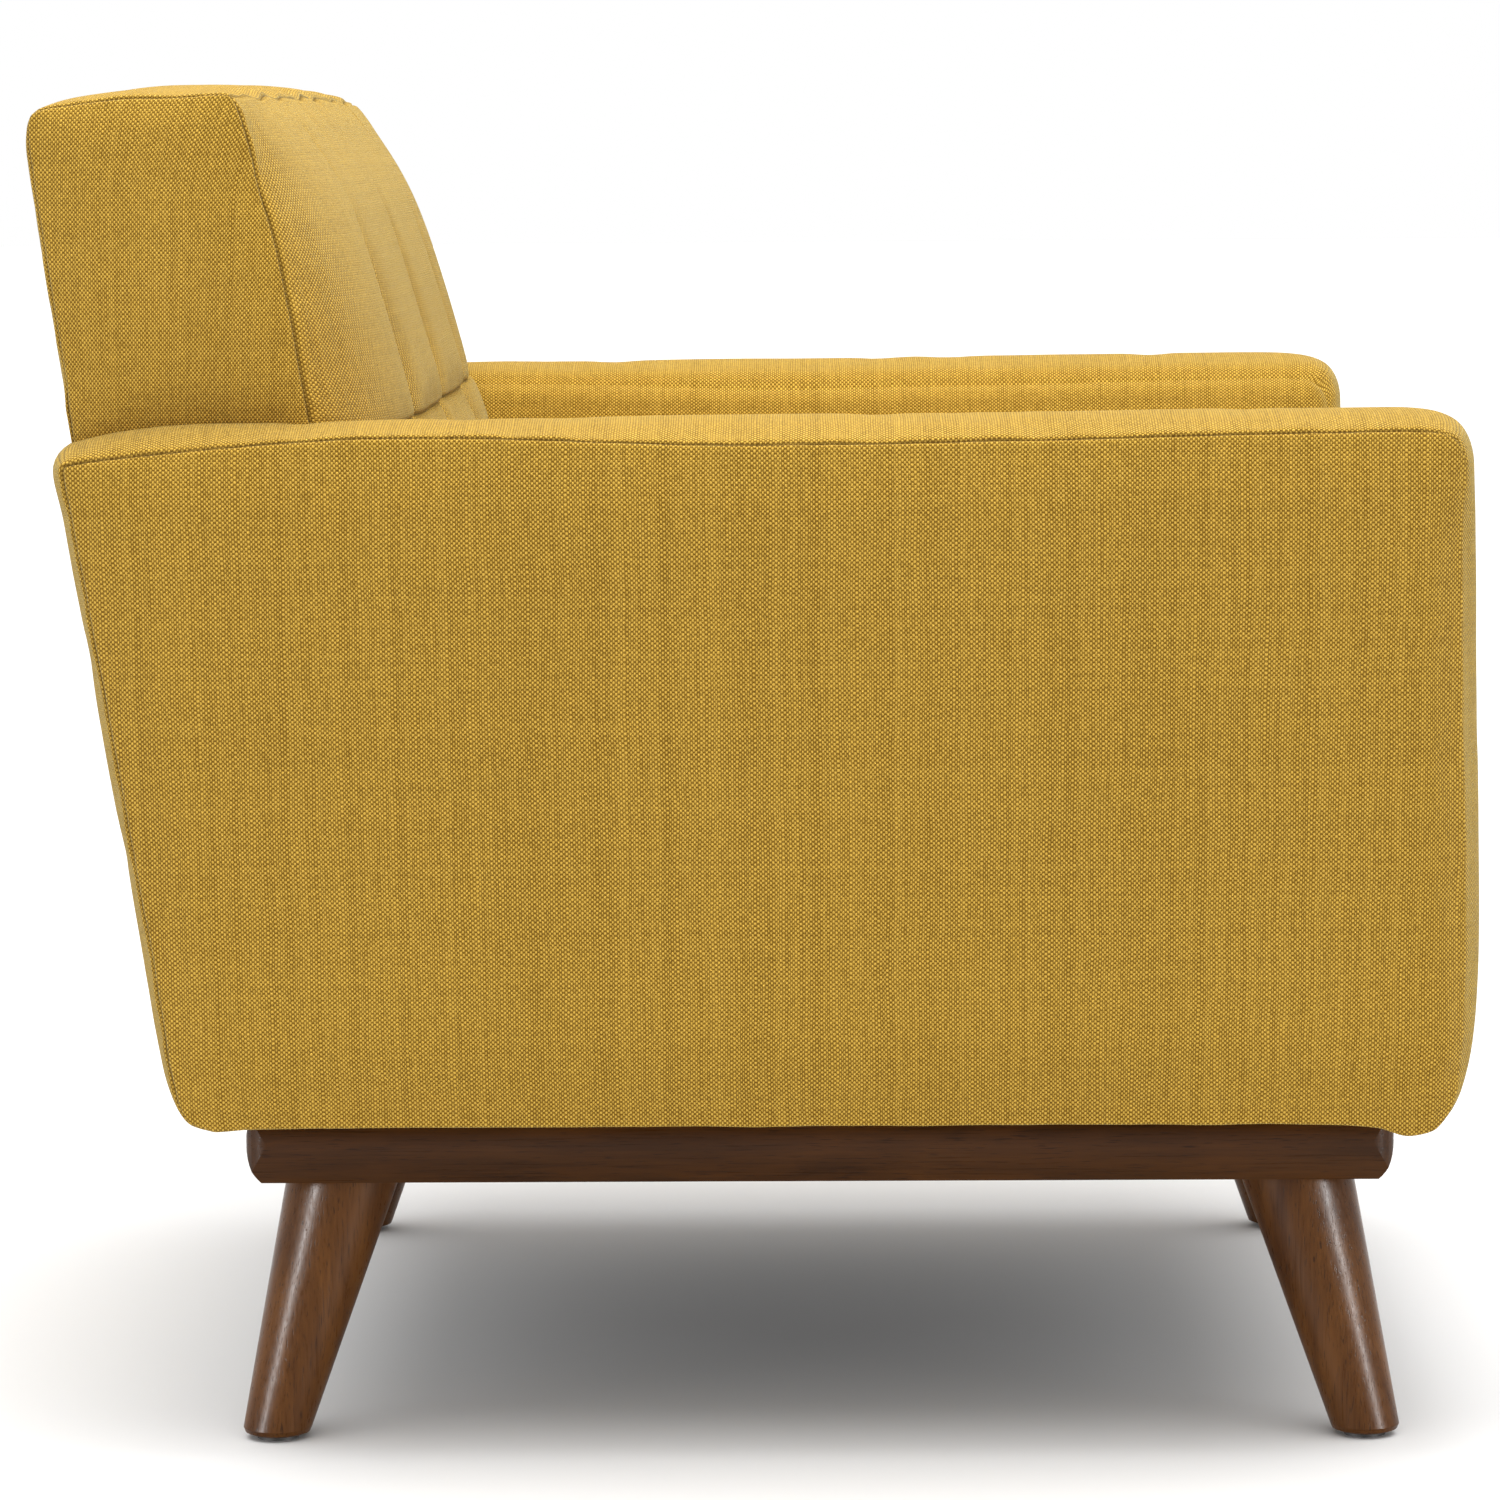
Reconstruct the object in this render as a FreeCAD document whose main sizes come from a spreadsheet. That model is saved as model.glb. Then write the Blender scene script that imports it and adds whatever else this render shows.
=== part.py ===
"""Single-seat upholstered sofa on a wooden plinth with four splayed legs.

+X points to the sitter's left, +Y to the rear and +Z up. The origin is on the floor, under the middle of the
overall box. All lengths are millimetres.

The arms lean outward towards the top, and the whole rear face leans backward. So most pieces are the common
solid of two outlines: one seen from the side, in Y and Z, and one seen from the front, in X and Z.
"""
import FreeCAD, Part
import math
import os
import re
import Sketcher

DIMENSIONS = {
    # overall shape of the upholstered body
    "half_width": 493,      # outer face of an arm, at the arm's top
    "body_bottom": 212,     # underside of the wooden seat frame
    "arm_top": 645,
    "arm_thick": 123,
    "arm_flare": 58,        # how far an arm's outer face moves in from its top to its bottom
    "arm_front": -428,      # front face of an arm, at the arm's top
    "front_lean": 10,       # how much further forward that face is at the bottom
    "arm_rear": 412,        # rear face at the height of the arm's top
    "rear_lean": 63,        # how far the rear face moves forward from there to the bottom
    "back_top": 839,
    "back_half": 442,       # half of the back's width above the arms
    "reach": 600,           # longer than any piece, for outlines that are cut by another outline
    # padding and boards
    "pad_outer": 14,
    "pad_inner": 22,
    "pad_top": 24,
    "pad_front": 22,
    "pad_rear": 12,
    "board": 25,
    "bottom_rail_tall": 60,
    "top_rail_tall": 22,
    # seat
    "seat_rail_thick": 28,
    "seat_rail_top": 290,
    "deck_bottom": 298,
    "deck_top": 312,
    "border_inset": 4,
    "dust_thick": 1,
    "cover_gap": 1.5,       # gap between the loose cushion and what is round it
    "cushion_front": -428,
    "cushion_rear": 168,
    "cushion_top": 440,
    "cover_thick": 2.5,
    "zip_half": 200,
    "zip_tall": 12,
    "zip_thick": 1.5,
    "spring_wire": 1.9,
    "spring_width": 44,
    "spring_front": -398,
    "spring_rear": 302,
    "spring_pitch": 28,
    "clip_wide": 18,
    "clip_deep": 16,
    "clip_sheet": 1.2,
    # back
    "frame_deep": 32,       # depth of the back's posts and rails
    "post_inner": 262,
    "post_outer": 292,
    "frame_top": 815,
    "back_rail_tall": 30,
    "lower_rail_bottom": 400,
    "side_pad": 22,
    "web_wide": 50,
    "web_thick": 2,
    "web_margin": 5,        # how far the upright straps end below the frame's top
    "foam_foot": 175,       # front face of the back: at the deck, the cushion's top, the arm's top and higher
    "foam_seat": 185,
    "foam_arm": 217,
    "foam_high": 267,
    "foam_high_z": 779,
    "foam_top": 306,
    "side_seam": 268,
    "top_round": 9.5,       # height of the bevel along the back's top rear edge
    # plinth, centred behind the front of the body
    "base_y": -37,
    "plinth_half_x": 353,
    "plinth_half_y": 357,
    "plinth_bottom": 162,
    "plinth_thick": 34,
    "bullnose": 9.5,        # how far the plinth's outer face swells at half its height
    "plinth_corner": 14,
    "block_side": 92,
    "block_top": 200,
    # legs and their fixings
    "leg_top_x": 301,
    "leg_top_y": 299,
    "foot_x": 338,
    "foot_y": 340,
    "leg_top_radius": 36,
    "foot_radius": 21.5,
    "foot_round": 4,
    "glide_radius": 13,
    "glide_tall": 3,
    "bolt_radius": 4,
    "bolt_low": 124,
    "bolt_high": 205,
    "nut_radius": 5.5,
    "nut_flange": 11,
    "nut_low": 186,
    "flange_thick": 2,
    "overcut": 1,           # how far a drilled hole's tool runs past the solid
    "dowel_radius": 5,
    "dowel_half": 20,
}
SPRING_X = (-240, -120, 0, 120, 240)
WEB_X = (-215, -75, 75, 215)
WEB_Z = (470, 550, 630, 710)
DOWEL_Z = (232, 257)
SIDES = {"left": 1, "right": -1}
CORNERS = {"front_left": (1, -1), "front_right": (-1, -1), "rear_left": (1, 1), "rear_right": (-1, 1)}
PLANES = {"side": "YZ_Plane", "front": "XZ_Plane", "plan": "XY_Plane"}

doc = FreeCAD.newDocument("sofa")
sheet = doc.addObject("Spreadsheet::Sheet", "Sheet")
for row, (alias, number) in enumerate(DIMENSIONS.items(), start=1):
    sheet.set(f"A{row}", alias)
    sheet.set(f"B{row}", str(number))
    sheet.setAlias(f"B{row}", alias)
doc.recompute()

pieces = []


# ---- expressions -------------------------------------------------------------------------------------------
def bound(text):
    """The expression with every dimension's name pointed at its cell."""
    return re.sub(r"[a-z_]+", lambda word: "Sheet." + word[0] if word[0] in DIMENSIONS else word[0],
                  str(text))


def lean_x(offset, height):
    """X of the plane that lies this far inside an arm's outer face, at this height."""
    return f"(half_width - ({offset}) - (arm_top - ({height})) * arm_flare / (arm_top - body_bottom))"


def front_y(offset, height):
    """Y of the plane that lies this far behind the front face, at this height."""
    return f"(arm_front + ({offset}) - (arm_top - ({height})) * front_lean / (arm_top - body_bottom))"


def rear_y(offset, height):
    """Y of the plane that lies this far in front of the rear face, at this height."""
    return f"(arm_rear - ({offset}) - (arm_top - ({height})) * rear_lean / (arm_top - body_bottom))"


# ---- building blocks ---------------------------------------------------------------------------------------
def new_body(label):
    body = doc.addObject("PartDesign::Body", "Body")
    body.Label = label
    return body


def new_sketch(body, plane, offset):
    """A sketch on one of the body's own planes, moved along that plane's normal by the offset."""
    sketch = body.newObject("Sketcher::SketchObject", "Outline")
    origin_plane = [part for part in body.Origin.OriginFeatures if part.Role == PLANES[plane]][0]
    sketch.AttachmentSupport = [(origin_plane, "")]
    sketch.MapMode = "FlatFace"
    sketch.setExpression("AttachmentOffset.Base.z", bound(offset))
    return sketch


def pin_point(sketch, geometry, vertex, across, up):
    """Hold one vertex of a sketch at two expressions."""
    now = sketch.getPoint(geometry, vertex)
    for kind, place, text in (("DistanceX", now.x, across), ("DistanceY", now.y, up)):
        index = sketch.addConstraint(Sketcher.Constraint(kind, -1, 1, geometry, vertex, place))
        sketch.setExpression(f"Constraints[{index}]", bound(text))


def draw_outline(sketch, corners):
    """A closed outline of straight sides through corners given as expressions."""
    count = len(corners)
    start = [FreeCAD.Vector(math.cos(2 * math.pi * i / count), math.sin(2 * math.pi * i / count), 0) * 100
             for i in range(count)]
    for i in range(count):
        sketch.addGeometry(Part.LineSegment(start[i], start[(i + 1) % count]), False)
    for i in range(count):
        sketch.addConstraint(Sketcher.Constraint("Coincident", i, 2, (i + 1) % count, 1))
    for i, (across, up) in enumerate(corners):
        pin_point(sketch, i, 1, across, up)


def draw_circle(sketch, across, up, radius):
    circle = sketch.addGeometry(Part.Circle(FreeCAD.Vector(1, 1, 0), FreeCAD.Vector(0, 0, 1), 10), False)
    pin_point(sketch, circle, 3, across, up)
    index = sketch.addConstraint(Sketcher.Constraint("Radius", circle, 10))
    sketch.setExpression(f"Constraints[{index}]", bound(radius))


def pad_sketch(body, sketch, low, high):
    pad = body.newObject("PartDesign::Pad", "Pad")
    pad.Profile = sketch
    pad.setExpression("Length", bound(f"({high}) - ({low})"))
    sketch.Visibility = False


def prism(label, plane, corners, low, high):
    """A body whose outline lies in a plane and which runs from low to high along the plane's axis."""
    body = new_body(label)
    # the front plane's normal points along -Y, so its outline starts at the high end
    offset = f"-({high})" if plane == "front" else low
    sketch = new_sketch(body, plane, offset)
    draw_outline(sketch, corners)
    pad_sketch(body, sketch, low, high)
    return body


def rod(label, plane, across, up, radius, low, high):
    """A round body along a plane's axis."""
    body = new_body(label)
    offset = f"-({high})" if plane == "front" else low
    sketch = new_sketch(body, plane, offset)
    draw_circle(sketch, across, up, radius)
    pad_sketch(body, sketch, low, high)
    return body


def combine(kind, label, base, tool):
    """Part::Common or Part::Cut of two objects."""
    result = doc.addObject(kind, "Combined")
    result.Base = base
    result.Tool = tool
    result.Label = label
    return result


def crossed(label, side_corners, front_corners):
    """The common solid of a side outline and a front outline."""
    across = prism(label + "_side", "side", side_corners, "-reach", "reach")
    along = prism(label + "_front", "front", front_corners, "-reach", "reach")
    return combine("Part::Common", label, across, along)


def group(label, members):
    """Separate solids that share one node."""
    result = doc.addObject("Part::Compound", "Group")
    result.Links = members
    result.Label = label
    return result


def keep(piece):
    pieces.append(piece)
    return piece


# ---- outlines ----------------------------------------------------------------------------------------------
def side_band(front, rear, low, high):
    """A side outline between two functions of height."""
    return [(front(low), low), (front(high), high), (rear(high), high), (rear(low), low)]


def behind_front(offset):
    return lambda height: front_y(offset, height)


def before_rear(offset):
    return lambda height: rear_y(offset, height)


def arm_band(side, outer, inner, low, high):
    """A front outline inside an arm, between two offsets from its outer face."""
    return [
        (f"{side} * {lean_x(outer, low)}", low),
        (f"{side} * {lean_x(outer, high)}", high),
        (f"{side} * {lean_x(inner, high)}", high),
        (f"{side} * {lean_x(inner, low)}", low),
    ]


def between_arms(offset, low, high):
    """A front outline from arm to arm, ending at an offset from their outer faces."""
    return [
        (f"-{lean_x(offset, low)}", low),
        (f"-{lean_x(offset, high)}", high),
        (lean_x(offset, high), high),
        (lean_x(offset, low), low),
    ]


def rectangle(left, right, low, high):
    return [(left, low), (left, high), (right, high), (right, low)]


# ---- plinth and legs ---------------------------------------------------------------------------------------
def plinth_section(label, plane, side, middle, half, reach_low, reach_high):
    """A long bar with the bullnose section of one plinth rail.

    side is -1 or 1, along the section's first axis."""
    body = new_body(label)
    offset = f"-({reach_high})" if plane == "front" else reach_low
    sketch = new_sketch(body, plane, offset)
    size = DIMENSIONS
    origin = size[middle] if middle in size else 0
    edge = origin + side * (size[half] - size["bullnose"])
    inner = origin + side * (size[half] - size["plinth_thick"])
    low, high = size["plinth_bottom"], size["body_bottom"]
    points = [FreeCAD.Vector(edge, low, 0), FreeCAD.Vector(inner, low, 0),
              FreeCAD.Vector(inner, high, 0), FreeCAD.Vector(edge, high, 0)]
    for first, second in zip(points, points[1:]):
        sketch.addGeometry(Part.LineSegment(first, second), False)
    half_tall = (high - low) / 2
    radius = (half_tall ** 2 + size["bullnose"] ** 2) / (2 * size["bullnose"])
    centre = FreeCAD.Vector(origin + side * (size[half] - radius), (low + high) / 2, 0)
    half_angle = math.asin(half_tall / radius)
    facing = 0 if side > 0 else math.pi
    circle = Part.Circle(centre, FreeCAD.Vector(0, 0, 1), radius)
    sketch.addGeometry(Part.ArcOfCircle(circle, facing - half_angle, facing + half_angle), False)
    sketch.addConstraint(Sketcher.Constraint("Coincident", 0, 2, 1, 1))
    sketch.addConstraint(Sketcher.Constraint("Coincident", 1, 2, 2, 1))
    # an arc runs anticlockwise, so it ends at the top on the positive side and at the bottom on the other
    lower, upper = (1, 2) if side > 0 else (2, 1)
    sketch.addConstraint(Sketcher.Constraint("Coincident", 2, 2, 3, upper))
    sketch.addConstraint(Sketcher.Constraint("Coincident", 0, 1, 3, lower))
    edge_text = f"{middle} + {side} * ({half} - bullnose)"
    inner_text = f"{middle} + {side} * ({half} - plinth_thick)"
    pin_point(sketch, 0, 1, edge_text, "plinth_bottom")
    pin_point(sketch, 0, 2, inner_text, "plinth_bottom")
    pin_point(sketch, 1, 2, inner_text, "body_bottom")
    pin_point(sketch, 2, 2, edge_text, "body_bottom")
    index = sketch.addConstraint(Sketcher.Constraint("Radius", 3, radius))
    sketch.setExpression(f"Constraints[{index}]",
                         bound("((body_bottom - plinth_bottom) ^ 2 / 4 + bullnose ^ 2) / (2 * bullnose)"))
    pad_sketch(body, sketch, reach_low, reach_high)
    return body


def rounded_plan():
    """The plinth's plan as a solid block with rounded upright corners."""
    body = prism("plinth_plan", "plan",
                 rectangle("-plinth_half_x", "plinth_half_x",
                           "base_y - plinth_half_y", "base_y + plinth_half_y"),
                 "plinth_bottom", "body_bottom")
    doc.recompute()
    upright = [f"Edge{i}" for i, edge in enumerate(body.Shape.Edges, start=1)
               if abs(edge.tangentAt(edge.FirstParameter).z) > 0.99]
    block = body.Tip
    fillet = body.newObject("PartDesign::Fillet", "CornerRounds")
    fillet.Base = (block, upright)
    fillet.setExpression("Radius", bound("plinth_corner"))
    return body


def plinth_rail(name, along_x, side, plan):
    """One mitred rail. along_x is True for the front and rear rails."""
    label = f"plinth_rail_{name}"
    outer_x, inner_x = "plinth_half_x", "(plinth_half_x - plinth_thick)"
    outer_y, inner_y = "plinth_half_y", "(plinth_half_y - plinth_thick)"
    if along_x:
        section = plinth_section(label + "_section", "side", side, "base_y", "plinth_half_y",
                                 "-reach", "reach")
        mitres = [(f"-{outer_x}", f"base_y + {side} * {outer_y}"),
                  (outer_x, f"base_y + {side} * {outer_y}"),
                  (inner_x, f"base_y + {side} * {inner_y}"),
                  (f"-{inner_x}", f"base_y + {side} * {inner_y}")]
    else:
        section = plinth_section(label + "_section", "front", side, "0", "plinth_half_x",
                                 "-reach", "reach")
        mitres = [(f"{side} * {outer_x}", f"base_y - {outer_y}"),
                  (f"{side} * {outer_x}", f"base_y + {outer_y}"),
                  (f"{side} * {inner_x}", f"base_y + {inner_y}"),
                  (f"{side} * {inner_x}", f"base_y - {inner_y}")]
    wedge = prism(label + "_mitres", "plan", mitres, "plinth_bottom", "body_bottom")
    mitred = combine("Part::Common", label + "_mitred", section, wedge)
    keep(combine("Part::Common", label, mitred, plan))


def corner_block(name, side_x, side_y):
    """A triangular block in a plinth corner, with the hole that its tee nut is pressed into."""
    corner_x = f"{side_x} * (plinth_half_x - plinth_thick)"
    corner_y = f"base_y + {side_y} * (plinth_half_y - plinth_thick)"
    block = prism(f"block_{name}", "plan",
                  [(corner_x, corner_y), (f"{corner_x} - {side_x} * block_side", corner_y),
                   (corner_x, f"{corner_y} - {side_y} * block_side")],
                  "plinth_bottom", "block_top")
    hole = rod(f"block_hole_{name}", "plan", f"{side_x} * leg_top_x", f"base_y + {side_y} * leg_top_y",
               "nut_radius", "plinth_bottom - overcut", "block_top + overcut")
    return combine("Part::Cut", f"corner_block_{name}", block, hole)


def tee_nut(name, side_x, side_y):
    """A flanged nut on a corner block, bored for its hanger bolt."""
    at = (f"{side_x} * leg_top_x", f"base_y + {side_y} * leg_top_y")
    barrel = rod(f"nut_barrel_{name}", "plan", *at, "nut_radius", "nut_low", "block_top")
    flange = rod(f"nut_flange_{name}", "plan", *at, "nut_flange", "block_top", "block_top + flange_thick")
    bore = rod(f"nut_bore_{name}", "plan", *at, "bolt_radius",
               "nut_low - overcut", "block_top + flange_thick + overcut")
    both = combine("Part::Fuse", f"nut_blank_{name}", barrel, flange)
    return combine("Part::Cut", f"tee_nut_{name}", both, bore)


def leg(name, side_x, side_y):
    """A tapered round leg that splays outward both ways, from the plinth's underside to its glide. The foot's
    rim is rounded in two steps."""
    body = new_body(f"leg_{name}")
    circles = []
    for angle in (0, 45, 90):
        circle = new_sketch(body, "plan", f"glide_tall + foot_round * (1 - cos({angle}))")
        draw_circle(circle, f"{side_x} * foot_x", f"base_y + {side_y} * foot_y",
                    f"foot_radius - foot_round * (1 - sin({angle}))")
        circles.append(circle)
    top = new_sketch(body, "plan", "plinth_bottom")
    draw_circle(top, f"{side_x} * leg_top_x", f"base_y + {side_y} * leg_top_y", "leg_top_radius")
    loft = body.newObject("PartDesign::AdditiveLoft", "Taper")
    loft.Profile = circles[0]
    loft.Sections = [*circles[1:], top]
    loft.Ruled = True
    keep(body)


def build_base():
    plan = rounded_plan()
    plinth_rail("front", True, -1, plan)
    plinth_rail("rear", True, 1, plan)
    plinth_rail("left", False, 1, plan)
    plinth_rail("right", False, -1, plan)
    for name, (side_x, side_y) in CORNERS.items():
        leg(name, side_x, side_y)
        keep(rod(f"glide_{name}", "plan", f"{side_x} * foot_x", f"base_y + {side_y} * foot_y",
                 "glide_radius", "0", "glide_tall"))
    keep(group("corner_blocks", [corner_block(name, *sides) for name, sides in CORNERS.items()]))
    keep(group("tee_nuts", [tee_nut(name, *sides) for name, sides in CORNERS.items()]))
    keep(group("hanger_bolts", [
        rod(f"bolt_{name}", "plan", f"{side_x} * leg_top_x", f"base_y + {side_y} * leg_top_y",
            "bolt_radius", "bolt_low", "bolt_high")
        for name, (side_x, side_y) in CORNERS.items()]))


# ---- seat --------------------------------------------------------------------------------------------------
def sinuous_spring(x):
    """A zigzag wire spring lying along Y: straight runs across X joined by half circles."""
    wire_radius, pitch = sheet.spring_wire, sheet.spring_pitch
    half_run = (sheet.spring_width - pitch) / 2
    height = sheet.seat_rail_top + sheet.clip_sheet + wire_radius
    runs = round((sheet.spring_rear - sheet.spring_front) / pitch) + 1
    edges = []
    for i in range(runs):
        y = sheet.spring_front + i * pitch
        side = 1 if i % 2 == 0 else -1
        start = FreeCAD.Vector(x - side * half_run, y, height)
        end = FreeCAD.Vector(x + side * half_run, y, height)
        edges.append(Part.LineSegment(start, end).toShape())
        if i < runs - 1:
            bulge = FreeCAD.Vector(x + side * (half_run + pitch / 2), y + pitch / 2, height)
            turn_end = FreeCAD.Vector(x + side * half_run, y + pitch, height)
            edges.append(Part.Arc(end, bulge, turn_end).toShape())
    path = Part.Wire(edges)
    start = edges[0].Vertexes[0].Point
    profile = Part.Wire(Part.Circle(start, FreeCAD.Vector(1, 0, 0), wire_radius).toShape())
    return path.makePipeShell([profile], True, False)


def spring_clips():
    """A folded steel clip at each end of each spring: a plate under the wire with a lip bent up behind it."""
    lip = "seat_rail_top + 2 * (clip_sheet + spring_wire) + clip_sheet"
    clips = []
    for x in SPRING_X:
        for end, direction in (("spring_front", -1), ("spring_rear", 1)):
            back = f"{end} + {direction} * clip_deep / 2"
            fold = f"{back} - {direction} * clip_sheet"
            toe = f"{back} - {direction} * clip_deep"
            outline = [(toe, "seat_rail_top"), (back, "seat_rail_top"), (back, lip), (fold, lip),
                       (fold, "seat_rail_top + clip_sheet"), (toe, "seat_rail_top + clip_sheet")]
            clips.append(prism(f"clip_{end}_{x}", "side", outline,
                               f"{x} - clip_wide / 2", f"{x} + clip_wide / 2"))
    return group("spring_clips", clips)


def frame_dowels():
    """Dowels that join the ends of the seat rails to the arm frames."""
    front_rail = front_y("pad_front + board / 2", DOWEL_Z[0])
    rear_rail = rear_y("pad_rear + frame_deep + seat_rail_thick / 2", DOWEL_Z[0])
    dowels = []
    for name, side in SIDES.items():
        for z in DOWEL_Z:
            joint = f"{side} * {lean_x('arm_thick - pad_inner', z)}"
            for rail, y in (("front", front_rail), ("rear", rear_rail)):
                dowels.append(rod(f"dowel_{rail}_{name}_{z}", "side", y, str(z), "dowel_radius",
                                  f"{joint} - dowel_half", f"{joint} + dowel_half"))
    return group("frame_dowels", dowels)


def build_seat():
    rail_ends = between_arms("arm_thick - pad_inner", "body_bottom", "seat_rail_top")
    front_rail = side_band(behind_front("pad_front"), behind_front("pad_front + seat_rail_thick"),
                           "body_bottom", "seat_rail_top")
    rear_rail = side_band(before_rear("pad_rear + frame_deep + seat_rail_thick"),
                          before_rear("pad_rear + frame_deep"), "body_bottom", "seat_rail_top")
    keep(crossed("seat_rail_front", front_rail, rail_ends))
    keep(crossed("seat_rail_rear", rear_rail, rail_ends))
    springs = doc.addObject("Part::Feature", "Springs")
    springs.Shape = Part.makeCompound([sinuous_spring(x) for x in SPRING_X])
    springs.Label = "seat_springs"
    keep(springs)
    keep(spring_clips())
    keep(frame_dowels())
    keep(crossed("deck_pad",
                 side_band(behind_front("pad_front"), before_rear("pad_rear + frame_deep + web_thick"),
                           "deck_bottom", "deck_top"),
                 between_arms("arm_thick - pad_inner", "deck_bottom", "deck_top")))
    keep(crossed("front_border",
                 side_band(behind_front("border_inset"), behind_front("pad_front"),
                           "body_bottom", "deck_top"),
                 between_arms("arm_thick", "body_bottom", "deck_top")))
    keep(prism("dust_cover", "plan",
               rectangle("plinth_thick - plinth_half_x", "plinth_half_x - plinth_thick",
                         "base_y - plinth_half_y + plinth_thick", "base_y + plinth_half_y - plinth_thick"),
               "body_bottom - dust_thick", "body_bottom"))


def cushion_block(label, inset):
    """The loose cushion's outer form, drawn in by an inset on every side."""
    low, high = f"deck_top + cover_gap + {inset}", f"cushion_top - {inset}"
    outline = [(f"cushion_front + {inset}", low), (f"cushion_front + {inset}", high),
               (f"cushion_rear - {inset}", high), (f"cushion_rear - {inset}", low)]
    return crossed(label, outline, between_arms(f"arm_thick + 2 * cover_gap + {inset}", low, high))


def build_cushion():
    keep(cushion_block("cushion_core", "cover_thick"))
    keep(combine("Part::Cut", "cushion_cover",
                 cushion_block("cover_outside", "0"), cushion_block("cover_inside", "cover_thick")))
    middle = "(deck_top + cushion_top) / 2"
    keep(prism("cushion_zip", "side",
               rectangle("cushion_rear", "cushion_rear + zip_thick",
                         f"{middle} - zip_tall / 2", f"{middle} + zip_tall / 2"),
               "-zip_half", "zip_half"))


# ---- arms --------------------------------------------------------------------------------------------------
def build_arm(name, side):
    """A frame of two posts and two rails, with a pad on each of its faces."""
    pad_base = "arm_top - pad_top"
    rail_base = "arm_top - pad_top - top_rail_tall"
    bottom_rail_top = "body_bottom + bottom_rail_tall"
    board_front = behind_front("pad_front")
    board_rear = before_rear("pad_rear")

    def frame_board(part, outline, low, high):
        keep(crossed(f"arm_{name}_{part}", outline,
                     arm_band(side, "pad_outer", "arm_thick - pad_inner", low, high)))

    frame_board("front_post",
                side_band(board_front, behind_front("pad_front + board"), "body_bottom", rail_base),
                "body_bottom", rail_base)
    frame_board("rear_post",
                side_band(before_rear("pad_rear + board"), board_rear, "body_bottom", rail_base),
                "body_bottom", rail_base)
    frame_board("top_rail", side_band(board_front, board_rear, rail_base, pad_base), rail_base, pad_base)
    frame_board("bottom_rail",
                side_band(behind_front("pad_front + board"), before_rear("pad_rear + board"),
                          "body_bottom", bottom_rail_top),
                "body_bottom", bottom_rail_top)

    keep(crossed(f"arm_{name}_outer_pad", side_band(board_front, board_rear, "body_bottom", pad_base),
                 arm_band(side, "0", "pad_outer", "body_bottom", pad_base)))
    keep(crossed(f"arm_{name}_inner_pad", side_band(board_front, board_rear, "deck_top", pad_base),
                 arm_band(side, "arm_thick - pad_inner", "arm_thick", "deck_top", pad_base)))
    keep(crossed(f"arm_{name}_front_pad", side_band(behind_front("0"), board_front, "body_bottom", pad_base),
                 arm_band(side, "0", "arm_thick", "body_bottom", pad_base)))
    keep(crossed(f"arm_{name}_rear_panel", side_band(board_rear, before_rear("0"), "body_bottom", pad_base),
                 arm_band(side, "0", "arm_thick", "body_bottom", pad_base)))
    # the top pad is notched where the back's outer upright stands on the arm's top rail
    pad = crossed(f"arm_{name}_pad_blank",
                  side_band(behind_front("0"), before_rear("0"), pad_base, "arm_top"),
                  arm_band(side, "0", "arm_thick", pad_base, "arm_top"))
    notch = crossed(f"arm_{name}_notch",
                    side_band(before_rear("pad_rear + frame_deep"), before_rear("pad_rear"),
                              pad_base, "arm_top"),
                    rectangle(f"{side} * (back_half - side_pad - board)", f"{side} * (back_half - side_pad)",
                              pad_base, "arm_top"))
    keep(combine("Part::Cut", f"arm_{name}_top_pad", pad, notch))


# ---- back --------------------------------------------------------------------------------------------------
def build_back_frame():
    """Posts, uprights and rails, all in one leaning slab between the rear panel and the webbing."""
    frame_front, frame_rear = before_rear("pad_rear + frame_deep"), before_rear("pad_rear")
    rail_low = "frame_top - back_rail_tall"
    for name, side in SIDES.items():
        keep(crossed(f"back_post_{name}", side_band(frame_front, frame_rear, "body_bottom", rail_low),
                     rectangle(f"{side} * post_inner", f"{side} * post_outer", "body_bottom", rail_low)))
        keep(crossed(f"back_upright_{name}",
                     side_band(frame_front, frame_rear, "arm_top - pad_top", rail_low),
                     rectangle(f"{side} * (back_half - side_pad - board)", f"{side} * (back_half - side_pad)",
                               "arm_top - pad_top", rail_low)))
    keep(crossed("back_top_rail", side_band(frame_front, frame_rear, rail_low, "frame_top"),
                 rectangle("side_pad - back_half", "back_half - side_pad", rail_low, "frame_top")))
    lower_top = "lower_rail_bottom + back_rail_tall"
    keep(crossed("back_lower_rail", side_band(frame_front, frame_rear, "lower_rail_bottom", lower_top),
                 rectangle("-post_inner", "post_inner", "lower_rail_bottom", lower_top)))


def back_webbing():
    """Flat straps on the front of the back's frame: level ones first, upright ones over them."""
    straps = []
    first, second = "pad_rear + frame_deep", "pad_rear + frame_deep + web_thick"
    third = "pad_rear + frame_deep + 2 * web_thick"
    for z in WEB_Z:
        low, high = f"{z} - web_wide / 2", f"{z} + web_wide / 2"
        straps.append(crossed(f"web_level_{z}", side_band(before_rear(second), before_rear(first), low, high),
                              rectangle("-post_outer", "post_outer", low, high)))
    low, high = "lower_rail_bottom", "frame_top - web_margin"
    for x in WEB_X:
        straps.append(crossed(f"web_upright_{x}",
                              side_band(before_rear(third), before_rear(second), low, high),
                              rectangle(f"{x} - web_wide / 2", f"{x} + web_wide / 2", low, high)))
    return group("back_webbing", straps)


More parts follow.
